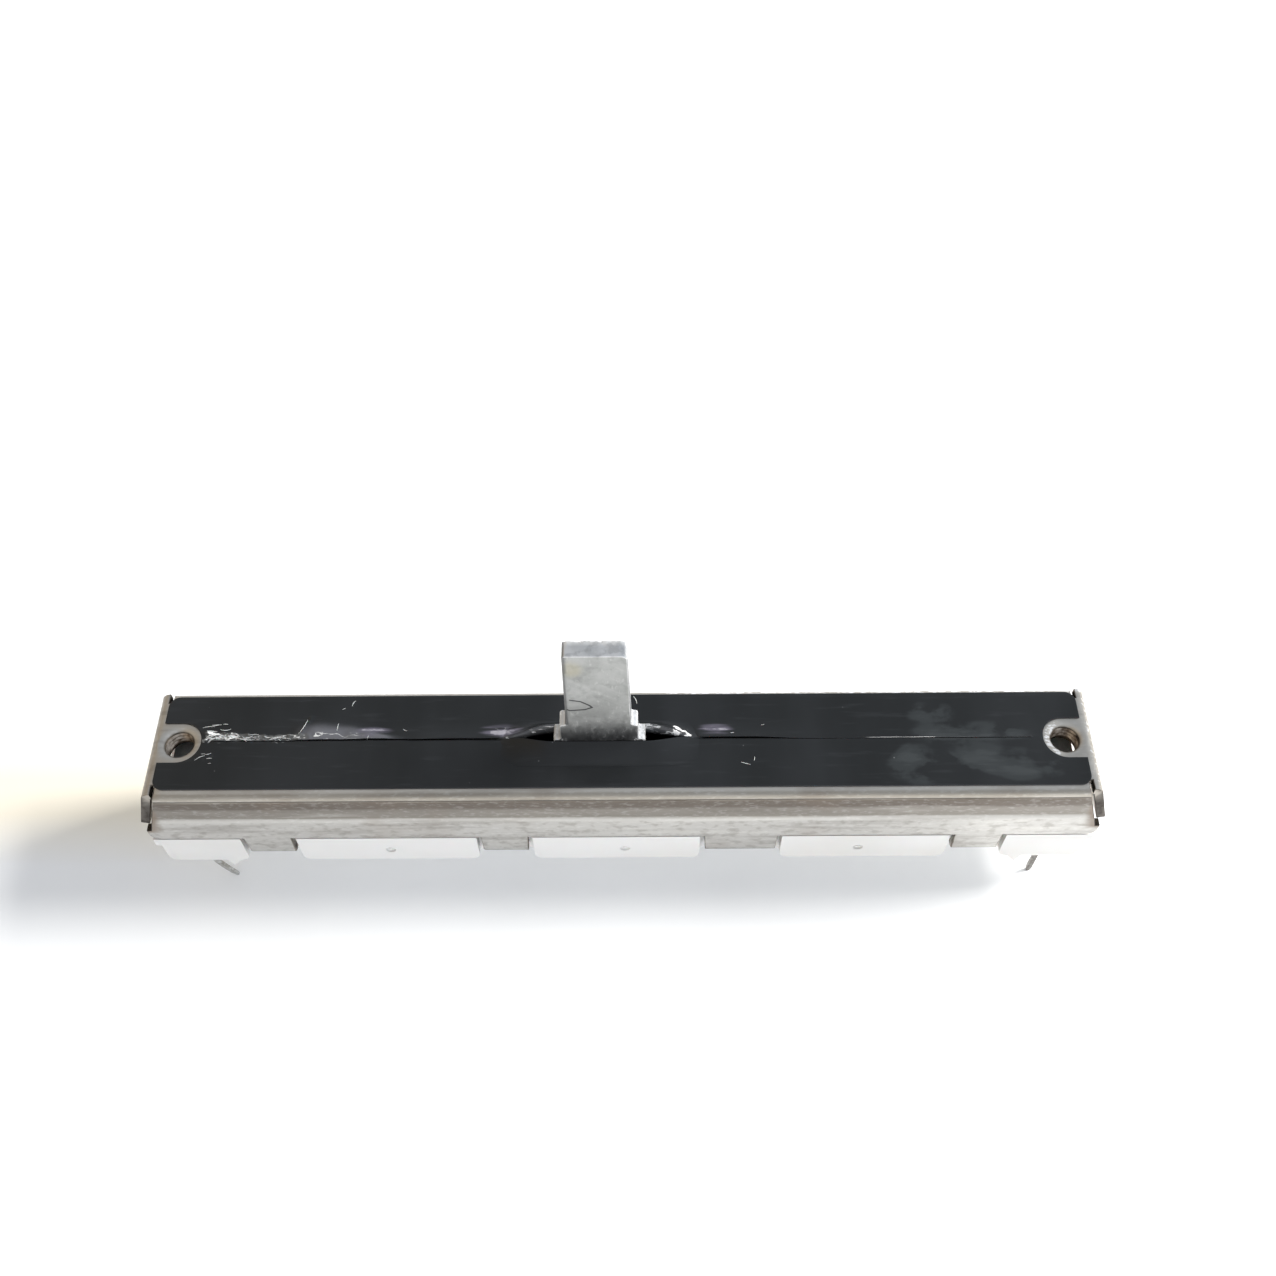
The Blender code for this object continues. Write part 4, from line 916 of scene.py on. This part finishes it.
def black_film():
    """Die-cut polyester film: near black and satin, scuffed along the slit, white where it cracked, with
    painted sheen and shade.
    """
    finish, tree, spot = start_finish("die-cut black polyester film")
    cloud = speckle(tree, spot, 4.0, stretch=(1.0, 3.0, 1.0))
    fine = speckle(tree, spot, 0.22, detail=5.0, stretch=(1.6, 1.0, 1.0))
    scuff = speckle(tree, spot, 0.22, detail=5.0, stretch=(9.0, 1.0, 1.0))
    blot = speckle(tree, spot, 1.3, detail=8.0, stretch=(1.7, 1.0, 1.0))
    wrinkle = speckle(tree, spot, 0.42, detail=3.0, stretch=(2.4, 1.0, 1.0))
    dust = add(tree, "TexVoronoi", {"Vector": spot, "Scale": 0.45}, feature="F1")
    beside = apart(tree, add(tree, "SeparateXYZ", [spot], out=1), 0.0)
    painted_sheen = product(tree, "haze", add(tree, "MapRange", [scuff, 0.3, 0.6]))
    residue = product(tree, "residue", add(tree, "MapRange", [blot, 0.38, 0.6]))
    broken = product(tree, add(tree, "MapRange", [apart(tree, wrinkle, 0.5), 0.035, 0.008], **SMOOTH),
                     add(tree, "MapRange", [blot, 0.4, 0.58], **SMOOTH))
    glints = product(tree, "glint", add(tree, "MapRange", [fine, 0.44, 0.6], **SMOOTH))
    slit_edge_highlight = product(tree, "slit_edge_highlight", add(tree, "MapRange", [beside, 0.1, 0.05], **SMOOTH))
    shade = painted(tree, "#121415",
                    ("#1C1E20", cloud, 0.35, 0.7),
                    ("#2B2D30", scuff, 0.56, 0.75, 0.35),  # fine scuffs along the film
                    ("#5C5D63", ("lifted", blot), 0.05, 0.6, 0.9),  # painted sheen where the film has come off and stands up
                    ("#5C5966", painted_sheen, 0.1, 0.8, 0.85),  # painted sheen, violet, on the raised film
                    ("#B9B8C0", (painted_sheen, fine), 0.34, 0.5, 0.4),
                    ("#2E3234", residue, 0.1, 0.4, 0.6),  # dried residue
                    ("#3A3E40", (residue, scuff), 0.2, 0.5, 0.4),
                    # The whitened mark is partly real, where cracked film turns white, and partly painted light
                    # on the lifted rim, the sheen ovals and the rear lip of the tents.
                    ("#5A5B5B", ("whitened", fine), 0.2, 0.6, 0.8),  # cracked film turns white
                    ("#E4E6E6", ("whitened", broken), 0.1, 0.7, 0.9),
                    ("#F0F1F2", ("whitened", fine), 0.62, 0.7, 0.8),
                    ("#F4F5F6", glints, 0.2, 0.75),
                    # painted highlight along the rear edge of the slit at the right
                    ("#E8E9EA", (slit_edge_highlight, scuff), 0.15, 0.4),
                    ("#77787A", dust, 0.04, 0.015, 0.5),  # specks of dust
                    # painted shade: the floor of the gap is painted black and unreflective, for the dark inside
                    # of the open slit
                    ("#000000", "gap", 0.1, 0.9))  # the open slit
    rough = add(tree, "MapRange", [residue, 0.1, 0.5, 0.3, 0.4], **SMOOTH)
    shine = add(tree, "MapRange", [product(tree, "gap"), 0.0, 1.0, 0.42, 0.0], **SMOOTH)
    relief = add(tree, "Math", [product(tree, "whitened", wrinkle), 8.0, fine], operation="MULTIPLY_ADD")
    return close_finish(finish, tree, relief, 0.006, Base_Color=shade, Roughness=rough, IOR=1.5,
                        Specular_IOR_Level=shine)


film_finish = black_film()
film_edge = moulded_finish("cut edge of the film", "#2C2D30", "#1C1D20", roughness=0.35)
print(film_finish.name)

# %% Cut and lay the film
SEAL_END = HOLE_X + PLATE_PAST_HOLE - 0.8
SEAL_SIDE = WALL_FACE - 0.7
SEAL_CORNER = 1.0
SEAL_HOLE = SCREW_MOUTH + 0.05
COARSE = 0.4
FINE = 0.13

cutout = arc((HOLE_X, 0.0), SEAL_HOLE, math.pi, QUARTER_TURN, 24)
quarter = cutout + [(SEAL_END, SEAL_HOLE)]
quarter += arc((SEAL_END - SEAL_CORNER, SEAL_SIDE - SEAL_CORNER), SEAL_CORNER, 0.0, QUARTER_TURN, 8)
right = [(x, -y) for x, y in reversed(quarter[1:])] + quarter
outline = right + [(-x, -y) for x, y in right]
slit = rectangle((SLIT[0], -SLIT_HALF), (SLIT[1], SLIT_HALF))
zones = ((-38.2, -17.0, -0.8, 3.0), (-17.0, -8.0, -1.6, 1.8), (5.0, 13.0, -1.4, 1.8))
coarse = grid(levels(-41.4, 41.4, COARSE), levels(-4.7, 4.7, COARSE))
for low_x, high_x, low_y, high_y in zones:
    covered = (coarse > (low_x, low_y)) & (coarse < (high_x, high_y))
    coarse = coarse[~covered.all(axis=1)]
fine = [grid(levels(zone[0], zone[1], FINE), levels(zone[2], zone[3], FINE)) for zone in zones]
film = sheet_piece("seal_film", [split(outline, COARSE), split(slit, 0.2)], FILM, place_film,
                   [film_finish, film_edge], np.concatenate([coarse, *fine]), roll=0.03)
# whitened: real cracks in the frayed film, with a painted highlight on the lifted rim near the slit and on the
# sheen ovals
mark(film, "whitened", lambda x, y, _: max(frayed(x, y), 0.6 * lifted(x, y) * ease(y, 1.1, 0.5),
                                           0.25 * in_ovals(x, y, PAINTED_SHEEN_OVALS[:2])))
mark(film, "lifted", lambda x, y, _: lifted(x, y))
mark(film, "residue", lambda x, y, _: in_ovals(x, y, RESIDUE))
# painted sheen on the raised film
mark(film, "haze", lambda x, y, _: in_ovals(x, y, PAINTED_SHEEN_OVALS))
# painted highlight: a thin bright line on the rear edge of the slit at the right
mark(film, "slit_edge_highlight", lambda x, y, _: (y > 0) * max(window_share(x, 22.7, 27.5, 1.5),
                                                      0.35 * ease(x, 17.0, 28.0)))
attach(film, "housing")
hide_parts("dust_seal")

# %% [markdown]
# ## Torn fibres
#
# Where such a film is worn, slivers of it tear loose and turn white. Hair particles could make them, but
# they are few and broad, so each is a small curled blade with four corners in each section. The lone ones
# are placed one by one. The rest are strewn along the frayed stretch with a fixed seed, so that they are the
# same in each run.

# %% Torn fibres of the film
FRAYS = 38
LONE_FRAYS = ((-28.8, 1.4, 1.2, 1.7, 0.05), (-25.7, 1.35, 1.5, 0.8, 0.05), (-25.4, 3.4, 0.3, 0.3, 0.05),
              (-24.6, 4.0, 1.1, 0.6, 0.05), (-22.8, 0.15, 1.2, 0.35, 0.08), (-19.6, 1.05, -0.6, 0.5, 0.05),
              (-36.8, 1.75, 0.0, 0.9, 0.07), (-37.5, 1.6, 0.1, 1.1, 0.04), (-36.0, 1.85, -0.1, 0.5, 0.05),
              (-37.8, -1.6, 0.5, 1.0, 0.05), (-37.1, -1.25, 0.1, 0.6, 0.05), (-36.9, -1.7, 0.0, 0.5, 0.07),
              (-36.8, -2.2, 0.0, 0.3, 0.04), (10.0, 0.45, 0.1, 0.3, 0.05), (12.8, 1.4, 0.0, 0.3, 0.03),
              (11.9, -2.05, 1.4, 0.4, 0.04), (11.1, -2.5, -0.3, 0.9, 0.03), (1.3, 4.2, -1.2, 0.9, 0.05))
FRAY_STATIONS = 7
random.seed(11)


def fray(x, y, turn, length, width):
    """A curled sliver of film, thin and pointed, as the four corners of each of its sections."""
    bow, curl = random.uniform(-0.5, 0.5), random.uniform(0.0, 0.12)
    sections = []
    for i in range(FRAY_STATIONS):
        t = i / (FRAY_STATIONS - 1) - 0.5
        angle = turn + bow * 2 * t
        aside = bow * length * (t * t - 0.08)
        cx = x + length * t * math.cos(turn) - aside * math.sin(turn)
        cy = y + length * t * math.sin(turn) + aside * math.cos(turn)
        half = width / 2 * (1 - 1.6 * abs(t)) + 0.006
        z = FILM_TOP + film_height(cx, cy) - 0.02 + curl * (t + 0.5)
        dx, dy = -math.sin(angle) * half, math.cos(angle) * half
        sections.append([(cx - dx, cy - dy, z), (cx + dx, cy + dy, z), (cx + dx, cy + dy, z + 0.04),
                         (cx - dx, cy - dy, z + 0.04)])
    return sections


print(FRAYS + len(LONE_FRAYS), "fibres")

# %% Strew the fibres
places = list(LONE_FRAYS)
for _ in range(FRAYS):
    x = -37.3 + 7.3 * random.random() ** 1.3
    y = 0.1 + abs(random.gauss(0.25, 0.3)) * (1 - 0.08 * (x + 37))
    places.append((x, y, random.gauss(0.0, 0.3), random.uniform(0.3, 1.1), random.uniform(0.02, 0.07)))
torn_film = moulded_finish("torn whitened film", "#CFD1D1", "#6D7072", roughness=0.3)
frays = new_piece("seal_frays", *bars([fray(*place) for place in places]), [torn_film], sharp=60)
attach(frays, "housing")

# %% [markdown]
# ## The tents
#
# The real film gives way as the lever passes and closes behind it. A bending simulation for each place of
# the lever would be slow, so the two tents are a patch of film of their own, which lies just over the glued
# film and rides on the slider. It is made of rows across the slit, and each row climbs the slope, turns over
# the rim and ends in the gap, which is marked to be black.
# The black of the gap is painted shade, for the dark inside of the open slit.

# %% One lip at one station
LEVER_AT = -1.9
TENT_REACH = 9.8
TENT_CLOSED = 8.6
TENT_FULL = 4.2
REAR_RISE = 1.2
FRONT_RISE = 1.05
TENT_GAP = 0.86
UNDERSIDE = 0.4
TENT_SHEET = 0.07
OVER_FILM = 0.012
VALLEY = 0.17
STATIONS = 140
SLOPE_STEPS = 16
UNDER_STEPS = 4


def tent_half(along, side):
    """One lip at one station, from where it leaves the plate over its rim, as (y, height, share of painted
    shade in the gap, share of painted light on the rear lip).
    """
    beside = abs(along)
    share = ease(beside, TENT_REACH + 0.8, TENT_FULL + 0.2)
    end = ease(beside, TENT_REACH, TENT_REACH - (1.2 if side > 0 else 3.0))
    hinge = (HINGE if side > 0 else 2.7) * (0.55 + 0.45 * ease(beside, TENT_REACH, 7.0))
    height = 0.15 * end + (REAR_RISE if side > 0 else FRONT_RISE) * share + 0.02
    gap = 0.02 + (TENT_GAP - 0.02) * ease(beside, TENT_CLOSED, TENT_FULL)
    half = []
    for i in range(SLOPE_STEPS + 1):
        t = i / SLOPE_STEPS
        y = hinge + (gap - hinge) * t
        fold = crumple(along, side * y, 0.7 if side > 0 else 2.4) - 0.4
        z = height * t ** 1.6
        z += (0.16 if side > 0 else 0.05) * fold * t * (1 - t * 0.6) * end * min(height, 0.5)
        half.append((side * y, z, 0.0, 0.6 * t * t))
    rim = half[-1][1]
    floor = min(VALLEY, rim - 0.03)
    if side > 0:
        for i in range(1, UNDER_STEPS + 1):
            t = i / UNDER_STEPS
            wave = 0.08 * (crumple(along + 5, t, 0.5) - 0.5) * share
            drop = 0.55 * share * t if i < UNDER_STEPS else rim - floor
            half.append((gap - UNDERSIDE * share * t + wave * t * (1 - t), rim - min(drop, rim - floor),
                         0.0 if i < UNDER_STEPS else 1.0, 1.0))
    else:
        half.append((side * (gap - 0.04), rim - 0.01, 0.0, 0.0))
        half.append((side * (gap - 0.06), rim + (floor - rim) * 0.4, 0.5, 0.0))
    foot = half[-1][0]
    half.append((foot - side * 0.01, floor, 1.0, 0.0))
    return half


print("the rear lip rises", round(max(height for _, height, *_ in tent_half(TENT_FULL, 1)), 2), "mm")

# %% Join the stations
stations = [-TENT_REACH + 2 * TENT_REACH * i / (STATIONS - 1) for i in range(STATIONS)]
rows = [tent_half(along, 1) + tent_half(along, -1)[::-1] for along in stations]
across = len(rows[0])
upper = [(LEVER_AT + along, y, FILM_TOP + OVER_FILM + z)
         for along, row in zip(stations, rows) for y, z, *_ in row]
lower = [(x, y, z - TENT_SHEET) for x, y, z in upper]
faces = []
under = len(upper)
for i in range(STATIONS - 1):
    for j in range(across - 1):
        quad = [i * across + j, i * across + j + 1, (i + 1) * across + j + 1, (i + 1) * across + j]
        faces += [quad, [under + k for k in reversed(quad)]]
rim = [j for j in range(across)] + [i * across + across - 1 for i in range(1, STATIONS)]
rim += [(STATIONS - 1) * across + j for j in range(across - 2, -1, -1)]
rim += [i * across for i in range(STATIONS - 2, 0, -1)]
faces += [[a, b, under + b, under + a] for a, b in zip(rim, rim[1:] + rim[:1])]
lips = new_piece("seal_lips", upper + lower, faces, [film_finish], sharp=60)

# %% Torn parts, painted light and shine of the lips


def lip_glint(x, y, z):
    """White sparkle on the rear rim: beside the lever and on its last slope at the right."""
    along = x - LEVER_AT
    high = ease(z - FILM_TOP, 0.6, 1.0)
    near = 0.6 * window_share(along, 4.2, 5.2, 0.3) * high + 0.3 * window_share(along, -8.0, -4.0, 1.0) * high
    last = window_share(along, 6.8, 8.0, 0.4) * ease(z - FILM_TOP, 0.2, 0.4)
    return (y > 0) * max(near, last)


# painted light, with the crumpled film's whitening: the rear lip's slope and its shaded underside are made
# lighter
torn = [t * (i < across / 2) * ease(abs(along), 10.0, 7.0) for along, row in zip(stations, rows)
        for i, (*_, t) in enumerate(row)] * 2
# The gap mark paints the floor of the open slit black, as painted shade.
store(lips, "gap", [gap for row in rows for _, _, gap, _ in row] * 2)
store(lips, "lifted", torn)
store(lips, "whitened", torn)
# painted sheen on the raised film of the tents
mark(lips, "haze", lambda x, y, _: in_ovals(x, y, PAINTED_SHEEN_OVALS))
mark(lips, "glint", lip_glint)
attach(lips, "slider")
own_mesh(lips)

# %% [markdown]
# ## The lever
#
# The lever is stamped from flat steel, 1.6 mm thick, with two steps on each side where a knob stops. A
# punched blank has one edge rolled over, the other one torn, and long scratches from knobs pushed on and
# off. So the same blank helper is used, standing up, with a rough rim.

# %% Stamp the lever
LEVER_HEIGHT = 15.0
LEVER_THICKNESS = 1.6
NECK_HALF = 2.875
LEVER_TAPER = 0.175
TIP_RADII = 0.3, 0.6
STEPS = ((0.575, 4.1), (0.65, 1.7))
STEP_RADIUS = 0.29
TANG_DEPTH = 5.6
SCRIBBLE = ((-2.3, 8.3), (-1.4, 8.05), (-0.7, 7.45), (-0.45, 7.1), (-1.1, 6.75), (-2.4, 6.6), (-2.6, 6.75))
SCRIBBLE_HALF = 0.075


def lever_side(tip_radius):
    """Right edge of the front view, from its tip down, as X from its middle and height over the plate."""
    half = NECK_HALF
    tip = NECK_HALF - LEVER_TAPER
    edge = arc((tip - tip_radius, LEVER_HEIGHT - tip_radius), tip_radius, QUARTER_TURN, 0.0, 6)
    for step, height in STEPS:
        radius = min(STEP_RADIUS, step / 2)
        edge += arc((half + radius, height + radius), radius, math.pi, 1.5 * math.pi, 5)[:-1]
        edge += arc((half + step - radius, height - radius), radius, QUARTER_TURN, 0.0, 5)
        half += step
    return edge + [(half, -TANG_DEPTH)]


def stand_lever(u, v, w):
    """Stand the blank up in the slit, its face forward, with a ragged dip along the rear edge of its tip."""
    ragged = ease(v, LEVER_HEIGHT - 1.2, LEVER_HEIGHT - 0.1) * ease(w, 0.5, LEVER_THICKNESS)
    dip = 0.14 * ragged * crumple(u, w, 0.45)
    return LEVER_AT + u, w - LEVER_THICKNESS / 2, TOP + v - dip


def stamped_steel(name, face, cloudy, bright, foot):
    """Plated stamped steel, dulled by knobs: a fine grain, grey clouds, a few bright specks, painted highlights
    and painted shade.
    """
    finish, tree, spot = start_finish(name)
    grain = speckle(tree, spot, 0.16, detail=5.0, stretch=(1.0, 1.0, 2.5))
    cloud = speckle(tree, spot, 1.6, detail=4.0)
    mottle = speckle(tree, spot, 0.45, detail=6.0)
    wipe = speckle(tree, add(tree, "VectorRotate", {"Vector": spot, "Axis": (0, 1, 0), "Angle": 0.9}), 0.3,
                   detail=4.0, stretch=(1.0, 1.0, 14.0))
    height = add(tree, "SeparateXYZ", [spot], out=2)
    height = add(tree, "Math", [cloud, 3.0, height], operation="MULTIPLY_ADD")
    shade = painted(tree, face,
                    (cloudy, cloud, 0.38, 0.66),
                    (bright, wipe, 0.52, 0.75, 0.15),  # slanting wipe marks
                    ("#858684", mottle, 0.5, 0.68, 0.3),
                    # painted reflection of the black film: the face darkens towards the slit
                    ("#5E5E60", height, TOP + 6.4, TOP + 3.4, foot),  # darker towards the slit
                    (bright, grain, 0.56, 0.75, 0.35),
                    ("#B9B298", ("yellowed", cloud), 0.1, 0.6, 0.6),
                    # painted shade: a dark strip down the rolled left edge
                    ("#5B5B5C", "rolled", 0.1, 0.9, 0.7),
                    ("#3A3A3B", "scribble", 0.2, 0.8, 0.85),
                    # painted highlight on real torn metal: white on the torn tip and the shoulders
                    ("#FFFFFF", ("burr_and_highlight", grain), 0.42, 0.56, 0.9))
    metallic = add(tree, "MapRange", [product(tree, "burr_and_highlight"), 0.0, 1.0, 1.0, 0.7])
    rough = add(tree, "MapRange", [grain, 0.3, 0.7, 0.42, 0.56], **SMOOTH)
    relief = add(tree, "Math", [cloud, 2.0, grain], operation="MULTIPLY_ADD")
    return close_finish(finish, tree, relief, 0.008, Base_Color=shade, Metallic=metallic, Roughness=rough)


def to_line(x, z, points):
    """Distance from a point to a line drawn through several points."""
    spot = Vector((x, z))
    nearest = [geometry.intersect_point_line(spot, Vector(a), Vector(b)) for a, b in zip(points, points[1:])]
    ends = [a if share < 0 else b if share > 1 else place
            for (place, share), a, b in zip(nearest, points, points[1:])]
    return min((spot - Vector(end)).length for end in ends)


# The last number is how strongly the painted reflection of the black film darkens each finish towards the slit.
lever_steel = stamped_steel("plated stamped lever steel", "#B9BAB8", "#A9AAA8", "#E2E2E0", 0.85)
# The sheared rim is burnished, and its near-white colour is partly that and partly a painted highlight for the
# glints along its edges.
painted_bright_lever_rim = stamped_steel("sheared lever steel, painted bright", "#F6F6F5", "#DEDFDE", "#FFFFFF", 0.2)
left = [(-x, height) for x, height in reversed(lever_side(TIP_RADII[0]))]
outline = lever_side(TIP_RADII[1]) + left
extra = np.concatenate([grid(levels(-4.0, 4.0, 0.3), levels(-TANG_DEPTH + 0.3, LEVER_HEIGHT - 0.3, 0.3)),
                        grid(levels(-2.65, 0.0, 0.06), levels(6.4, 8.5, 0.06))])
lever = sheet_piece("lever_blade", [split(outline, 0.2)], LEVER_THICKNESS, stand_lever,
                    [lever_steel, painted_bright_lever_rim], extra, roll=0.1, steps=3, through=6)
even_faces(lever)

# %% Wear, painted highlights and painted shade of the lever


def lever_burr_and_highlight(x, y, z):
    """Bright torn metal on the rear edge of the tip and on the shoulders, mostly at the right, with a painted
    highlight on it.
    """
    height = z - TOP
    tip = ease(height, 14.3, 14.7) * ease(y, 0.25, 0.7)
    ledges = max(window_share(height, top - 0.35, top + 0.1, 0.2) for _, top in STEPS)
    return max(tip, ledges * ease(abs(x - LEVER_AT), 2.7, 3.0) * (1.0 if x > LEVER_AT else 0.75))


mark(lever, "burr_and_highlight", lever_burr_and_highlight)
mark(lever, "scribble", lambda x, y, z: (y < 0) * ease(to_line(x - LEVER_AT, z - TOP, SCRIBBLE),
                                                       2 * SCRIBBLE_HALF, 0.4 * SCRIBBLE_HALF))
mark(lever, "yellowed", lambda x, y, z: (y < 0) * in_ovals(x - LEVER_AT, z - TOP, ((-2.0, 13.2, 1.4, 1.9),)))
# painted shade: a dark strip down the rolled left edge, which faces the dim left side of the room
mark(lever, "rolled", lambda x, y, z: ease(x - LEVER_AT + NECK_HALF - LEVER_TAPER * (z - TOP) / LEVER_HEIGHT,
                                           0.34, 0.06) * (z > TOP + 4.2))
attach(lever, "slider")
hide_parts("lever")

# %% [markdown]
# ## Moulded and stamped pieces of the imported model
#
# The base, the blocks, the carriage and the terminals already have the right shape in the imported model, but
# its edges are perfectly sharp, as no moulding or stamping is. Each is copied, its flat faces are joined
# again, and its edges are rounded by a width that fits the process, so that they catch light.

# %% Rounded copies
SHARP_EDGE = math.radians(28)


def eased(node, name, width, finish, body, segments=2):
    """A copy of a CAD node with its edges rounded, which stands for the node."""
    shape = bmesh.new()
    shape.from_mesh(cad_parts[node].data)
    bmesh.ops.remove_doubles(shape, verts=shape.verts, dist=1e-6)
    bmesh.ops.dissolve_limit(shape, angle_limit=math.radians(1), verts=shape.verts, edges=shape.edges)
    edges = [edge for edge in shape.edges
             if len(edge.link_faces) == 2 and edge.calc_face_angle() > SHARP_EDGE]
    bmesh.ops.bevel(shape, geom=edges, offset=width * MM, segments=segments, profile=0.5, affect="EDGES",
                    clamp_overlap=True)
    mesh = bpy.data.meshes.new(name)
    shape.to_mesh(mesh)
    shape.free()
    mesh.materials.clear()
    mesh.materials.append(finish)
    mesh.shade_smooth()
    mesh.set_sharp_from_angle(angle=math.radians(40))
    piece = bpy.data.objects.new(name, mesh)
    bpy.context.collection.objects.link(piece)
    even_faces(piece)
    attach(piece, body)
    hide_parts(node)
    print(name, len(mesh.polygons), "faces")
    return piece


white = moulded_finish("moulded white PBT", "#F5F4F2", "#ECEAE6")
block_acetal = moulded_finish("moulded grey acetal", "#D9D6CF", "#C3BFB7")
tray = eased("base", "base_tray", 0.08, white, "housing")
for end in ("left", "right"):
    eased(f"end_block_{end}", f"moulded_block_{end}", 0.08, block_acetal, "housing")
eased("carriage", "moulded_carriage", 0.08, block_acetal, "slider")

# %% [markdown]
# ## Gate marks
#
# Molten plastic enters the mould through small gates, and where each one was snapped off the tray keeps a
# round dimple with a broken stub in it. A picture of a ring would stay flat in raking light, so the ring is
# turned from a profile and cut out of the tray by a Boolean modifier, whose result becomes its own mesh.

# %% Gate marks of the tray
GATES = -21.9, 0.2, 22.1
GATE_HEIGHT = 7.2
GATE_PROFILE = ((0.0, -0.1), (0.5, -0.1), (0.46, 0.2), (0.24, 0.22), (0.17, 0.06), (0.0, 0.06))
GATE_SEGMENTS = 20


def gate_cutter(x):
    """A ring that leaves a stub in its middle, sunk into the tray's front face. It closes at two points."""
    centre = x, GATE_HEIGHT
    sections = [[(u, depth - SKIRT_FACE, v) for u, v in circle(centre, radius, GATE_SEGMENTS)]
                for radius, depth in GATE_PROFILE]
    points, faces = bars([sections])
    cutter = new_piece("gate_cutter", points, faces[:-2], [white])
    shape = bmesh.new()
    shape.from_mesh(cutter.data)
    bmesh.ops.remove_doubles(shape, verts=shape.verts, dist=1e-6)
    bmesh.ops.recalc_face_normals(shape, faces=shape.faces)
    shape.to_mesh(cutter.data)
    shape.free()
    return cutter


tray.modifiers.clear()
cutters = [gate_cutter(x) for x in GATES]
for cutter in cutters:
    tray.modifiers.new("gate mark", "BOOLEAN").object = cutter
tray_mesh = bpy.data.meshes.new_from_object(tray.evaluated_get(bpy.context.evaluated_depsgraph_get()))
tray.modifiers.clear()
tray.data = tray_mesh
for cutter in cutters:
    bpy.data.objects.remove(cutter)
even_faces(tray)
print("tray with gate marks", len(tray.data.polygons), "faces")

# %% [markdown]
# ## Pins, springs, rods and tracks
#
# The pins are punched from tinned brass. The tin of the left ones is still bright, and that of the right
# ones has gone grey. Behind the slit and under the frame nothing shows but a glimpse, yet each piece keeps
# its own metal or plastic, because the part can be opened and turned.

# %% Terminals and eyelets
PIN_TARNISH = {"left": 0.15, "right": 0.66}
TIP_TARNISH = 0.14
brass = metal_finish("tinned stamped brass", "#E6E6E3", "#B5B1A8", 0.36, grain=0.2)
for end in ("left", "right"):
    for side in ("front", "rear"):
        pin = eased(f"terminal_{end}_{side}", f"pin_{end}_{side}", 0.04, brass, "housing")
        mark(pin, "tarnish", lambda x, y, z: PIN_TARNISH[end] + TIP_TARNISH * ease(z, 0.8, 0.1))
        eased(f"eyelet_{end}_{side}", f"rivet_{end}_{side}", 0.03, brass, "housing")

# %% Springs, rods, board and tracks
bronze = metal_finish("rolled phosphor bronze", "#C79A5E", "#8A6236", 0.3, stretch=(6.0, 1.0, 1.0))
spring_steel = metal_finish("rolled spring steel", "#A9ABAE", "#6F6C66", 0.28, stretch=(6.0, 1.0, 1.0))
rod_steel = metal_finish("ground rod steel", "#C8C9CB", "#8E8B84", 0.22, stretch=(1.0, 8.0, 8.0))
board = moulded_finish("phenolic paper laminate", "#8A5B33", "#6E4526", roughness=0.5)
carbon = moulded_finish("printed carbon ink", "#1B1B1C", "#2A2928", roughness=0.6)
eased("wiper", "contact_wiper", 0.03, bronze, "slider")
eased("slider_spring", "leaf_spring", 0.03, spring_steel, "slider")
eased("resistor_board", "laminate_board", 0.05, board, "housing")
for row in ("front", "rear"):
    eased(f"guide_rod_{row}", f"ground_rod_{row}", 0.03, rod_steel, "housing")
for track in ("resistive_track", "collector_track"):
    eased(track, f"printed_{track}", 0.01, carbon, "housing", segments=1)
